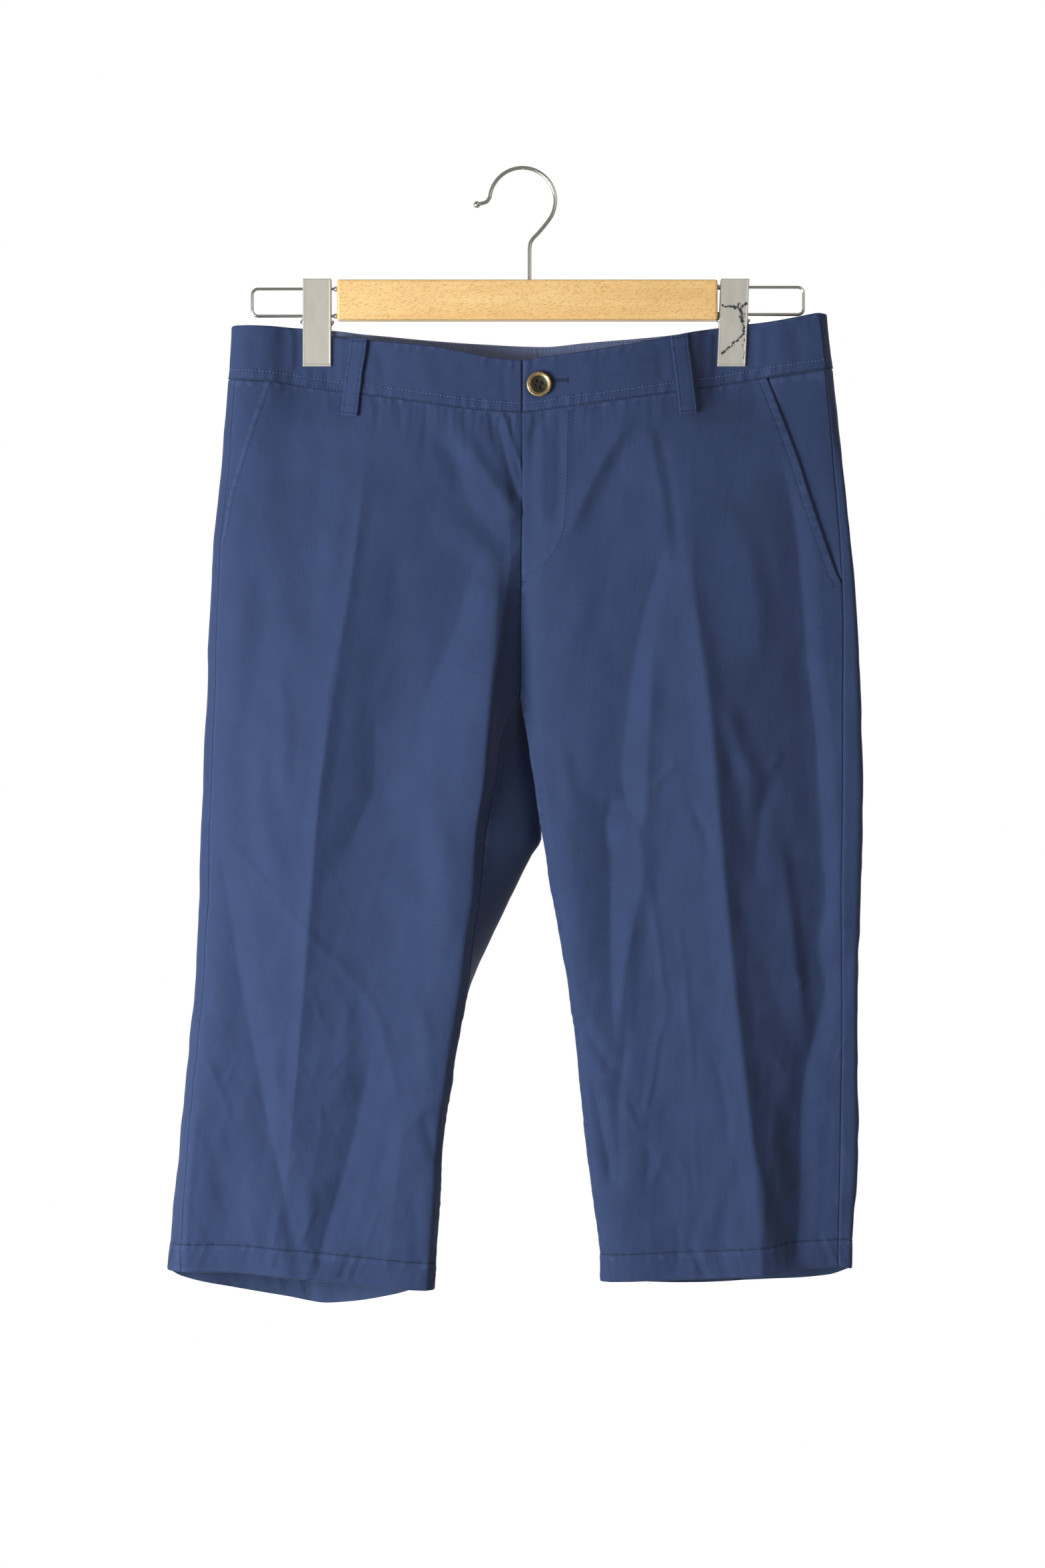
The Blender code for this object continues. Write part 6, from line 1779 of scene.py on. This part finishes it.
CLOTH = navy_cloth("navy_cotton_face", PALE_NAVY, DARK_NAVY, WORN_NAVY)
# The inner faces take a paler copy of the navy: painted light
CLOTH_INSIDE_PAINTED_LIGHT = navy_cloth("navy_cotton_inside", INSIDE_PALE_PAINTED_LIGHT, INSIDE_DARK_PAINTED_LIGHT, INSIDE_PALE_PAINTED_LIGHT)
# The waistband's facing is a much paler copy of the navy: painted light
CLOTH_FACING_PAINTED_LIGHT = navy_cloth("navy_cotton_facing", FACING_PALE_PAINTED_LIGHT, FACING_DARK_PAINTED_LIGHT, FACING_PALE_PAINTED_LIGHT)
THREAD = thread("navy_thread", *THREAD_TONES)
THREAD_PALE = thread("navy_thread_pale", *PALE_THREAD_TONES)
WOOD = beech()
STEEL = plated("bright_steel_wire", STEEL_TONE, 0.20)
NICKEL = plated("bright_nickel", NICKEL_TONE, 0.30, 0.3)
NICKEL_VEINED = plated("marbled_nickel", VEINED_TONE, 0.28, 0.3, veins=True)
BRASS = antique_brass()


# ---------------------------------------------------------------- stage, light and camera

def pale_floor():
    """A plain white floor under the hanging garment."""
    surface = Surface("white_floor", Specular_IOR_Level=0.2, Emission_Color=WHITE,
                      Emission_Strength=FLOOR_GLOW)
    surface.finish(colour=FLOOR_TONE, roughness=0.9)
    angles = np.arange(FLOOR_SIDES) * 2 * math.pi / FLOOR_SIDES
    rim = [(FLOOR_REACH * math.cos(a), FLOOR_REACH * math.sin(a), FLOOR_HEIGHT) for a in angles]
    floor = piece_object("floor", rim, [tuple(range(FLOOR_SIDES))], [surface.made], smooth=False)


def soft_light(name, place, size, power, colour):
    """A round soft light that faces the garment's middle."""
    lamp = bpy.data.lights.new(name, "AREA")
    lamp.shape = "DISK"
    lamp.size = size
    lamp.energy = power
    lamp.color = colour
    made = bpy.data.objects.new(name, lamp)
    bpy.context.scene.collection.objects.link(made)
    made.location = place
    made.rotation_mode = "QUATERNION"
    made.rotation_quaternion = (Vector(LIGHT_AIM) - Vector(place)).to_track_quat("-Z", "Y")


def surround():
    """A white backdrop that grows dim and warm towards the front."""
    world = bpy.data.worlds.new("white_surround")
    world.use_nodes = True
    backdrop = Nodes(world.node_tree)
    direction = backdrop.node("ShaderNodeTexCoord", {}, {}, "Generated")
    depth = backdrop.node("ShaderNodeSeparateXYZ", {}, {"Vector": direction}, "Y")
    level = backdrop.step(depth, SURROUND_FROM, SURROUND_TO, SURROUND_FRONT, SURROUND_BACK)
    glow = world.node_tree.nodes["Background"]
    backdrop.feed(glow.inputs["Color"], backdrop.mix(level, WARM + (1.0,), WHITE))
    backdrop.feed(glow.inputs["Strength"], level)
    bpy.context.scene.world = world


def studio():
    """The surround, two soft lights, the floor and the camera."""
    scene = bpy.context.scene
    scene.view_settings.view_transform = "Standard"
    surround()
    soft_light("key_light", KEY_PLACE, KEY_SIZE, KEY_POWER, COOL)
    soft_light("fill_light", FILL_PLACE, FILL_SIZE, FILL_POWER, WARM)
    pale_floor()
    lens = bpy.data.cameras.new("camera")
    lens.lens = CAMERA_LENS
    lens.sensor_width = CAMERA_SENSOR
    lens.clip_start, lens.clip_end = CAMERA_NEAR, CAMERA_FAR
    camera = bpy.data.objects.new("camera", lens)
    camera.location = CAMERA_PLACE
    camera.rotation_euler = (math.pi / 2, 0.0, 0.0)
    scene.collection.objects.link(camera)
    scene.camera = camera


# ---------------------------------------------------------------- making

studio()
for side, half in (("right", -1), ("left", 1)):
    front_panel(side, half)
    back_panel(side, half)
    pocket_side(side, half)
    hanger_loop(side, half)
    clip_plate(side, half, -1, NICKEL_VEINED if half > 0 else NICKEL)
    clip_plate(side, half, 1, NICKEL)
    clip_spring(side, half)
band_front("right", -1)
band = Cast(band_front("left", 1))
band_back()
for spec in BELT_LOOPS:
    belt_loop(spec)
waist_button(band)
buttonhole(band)
hanger_hook()
bar = bpy.data.objects["hanger_bar"]
for slot in bar.material_slots:
    slot.material = WOOD
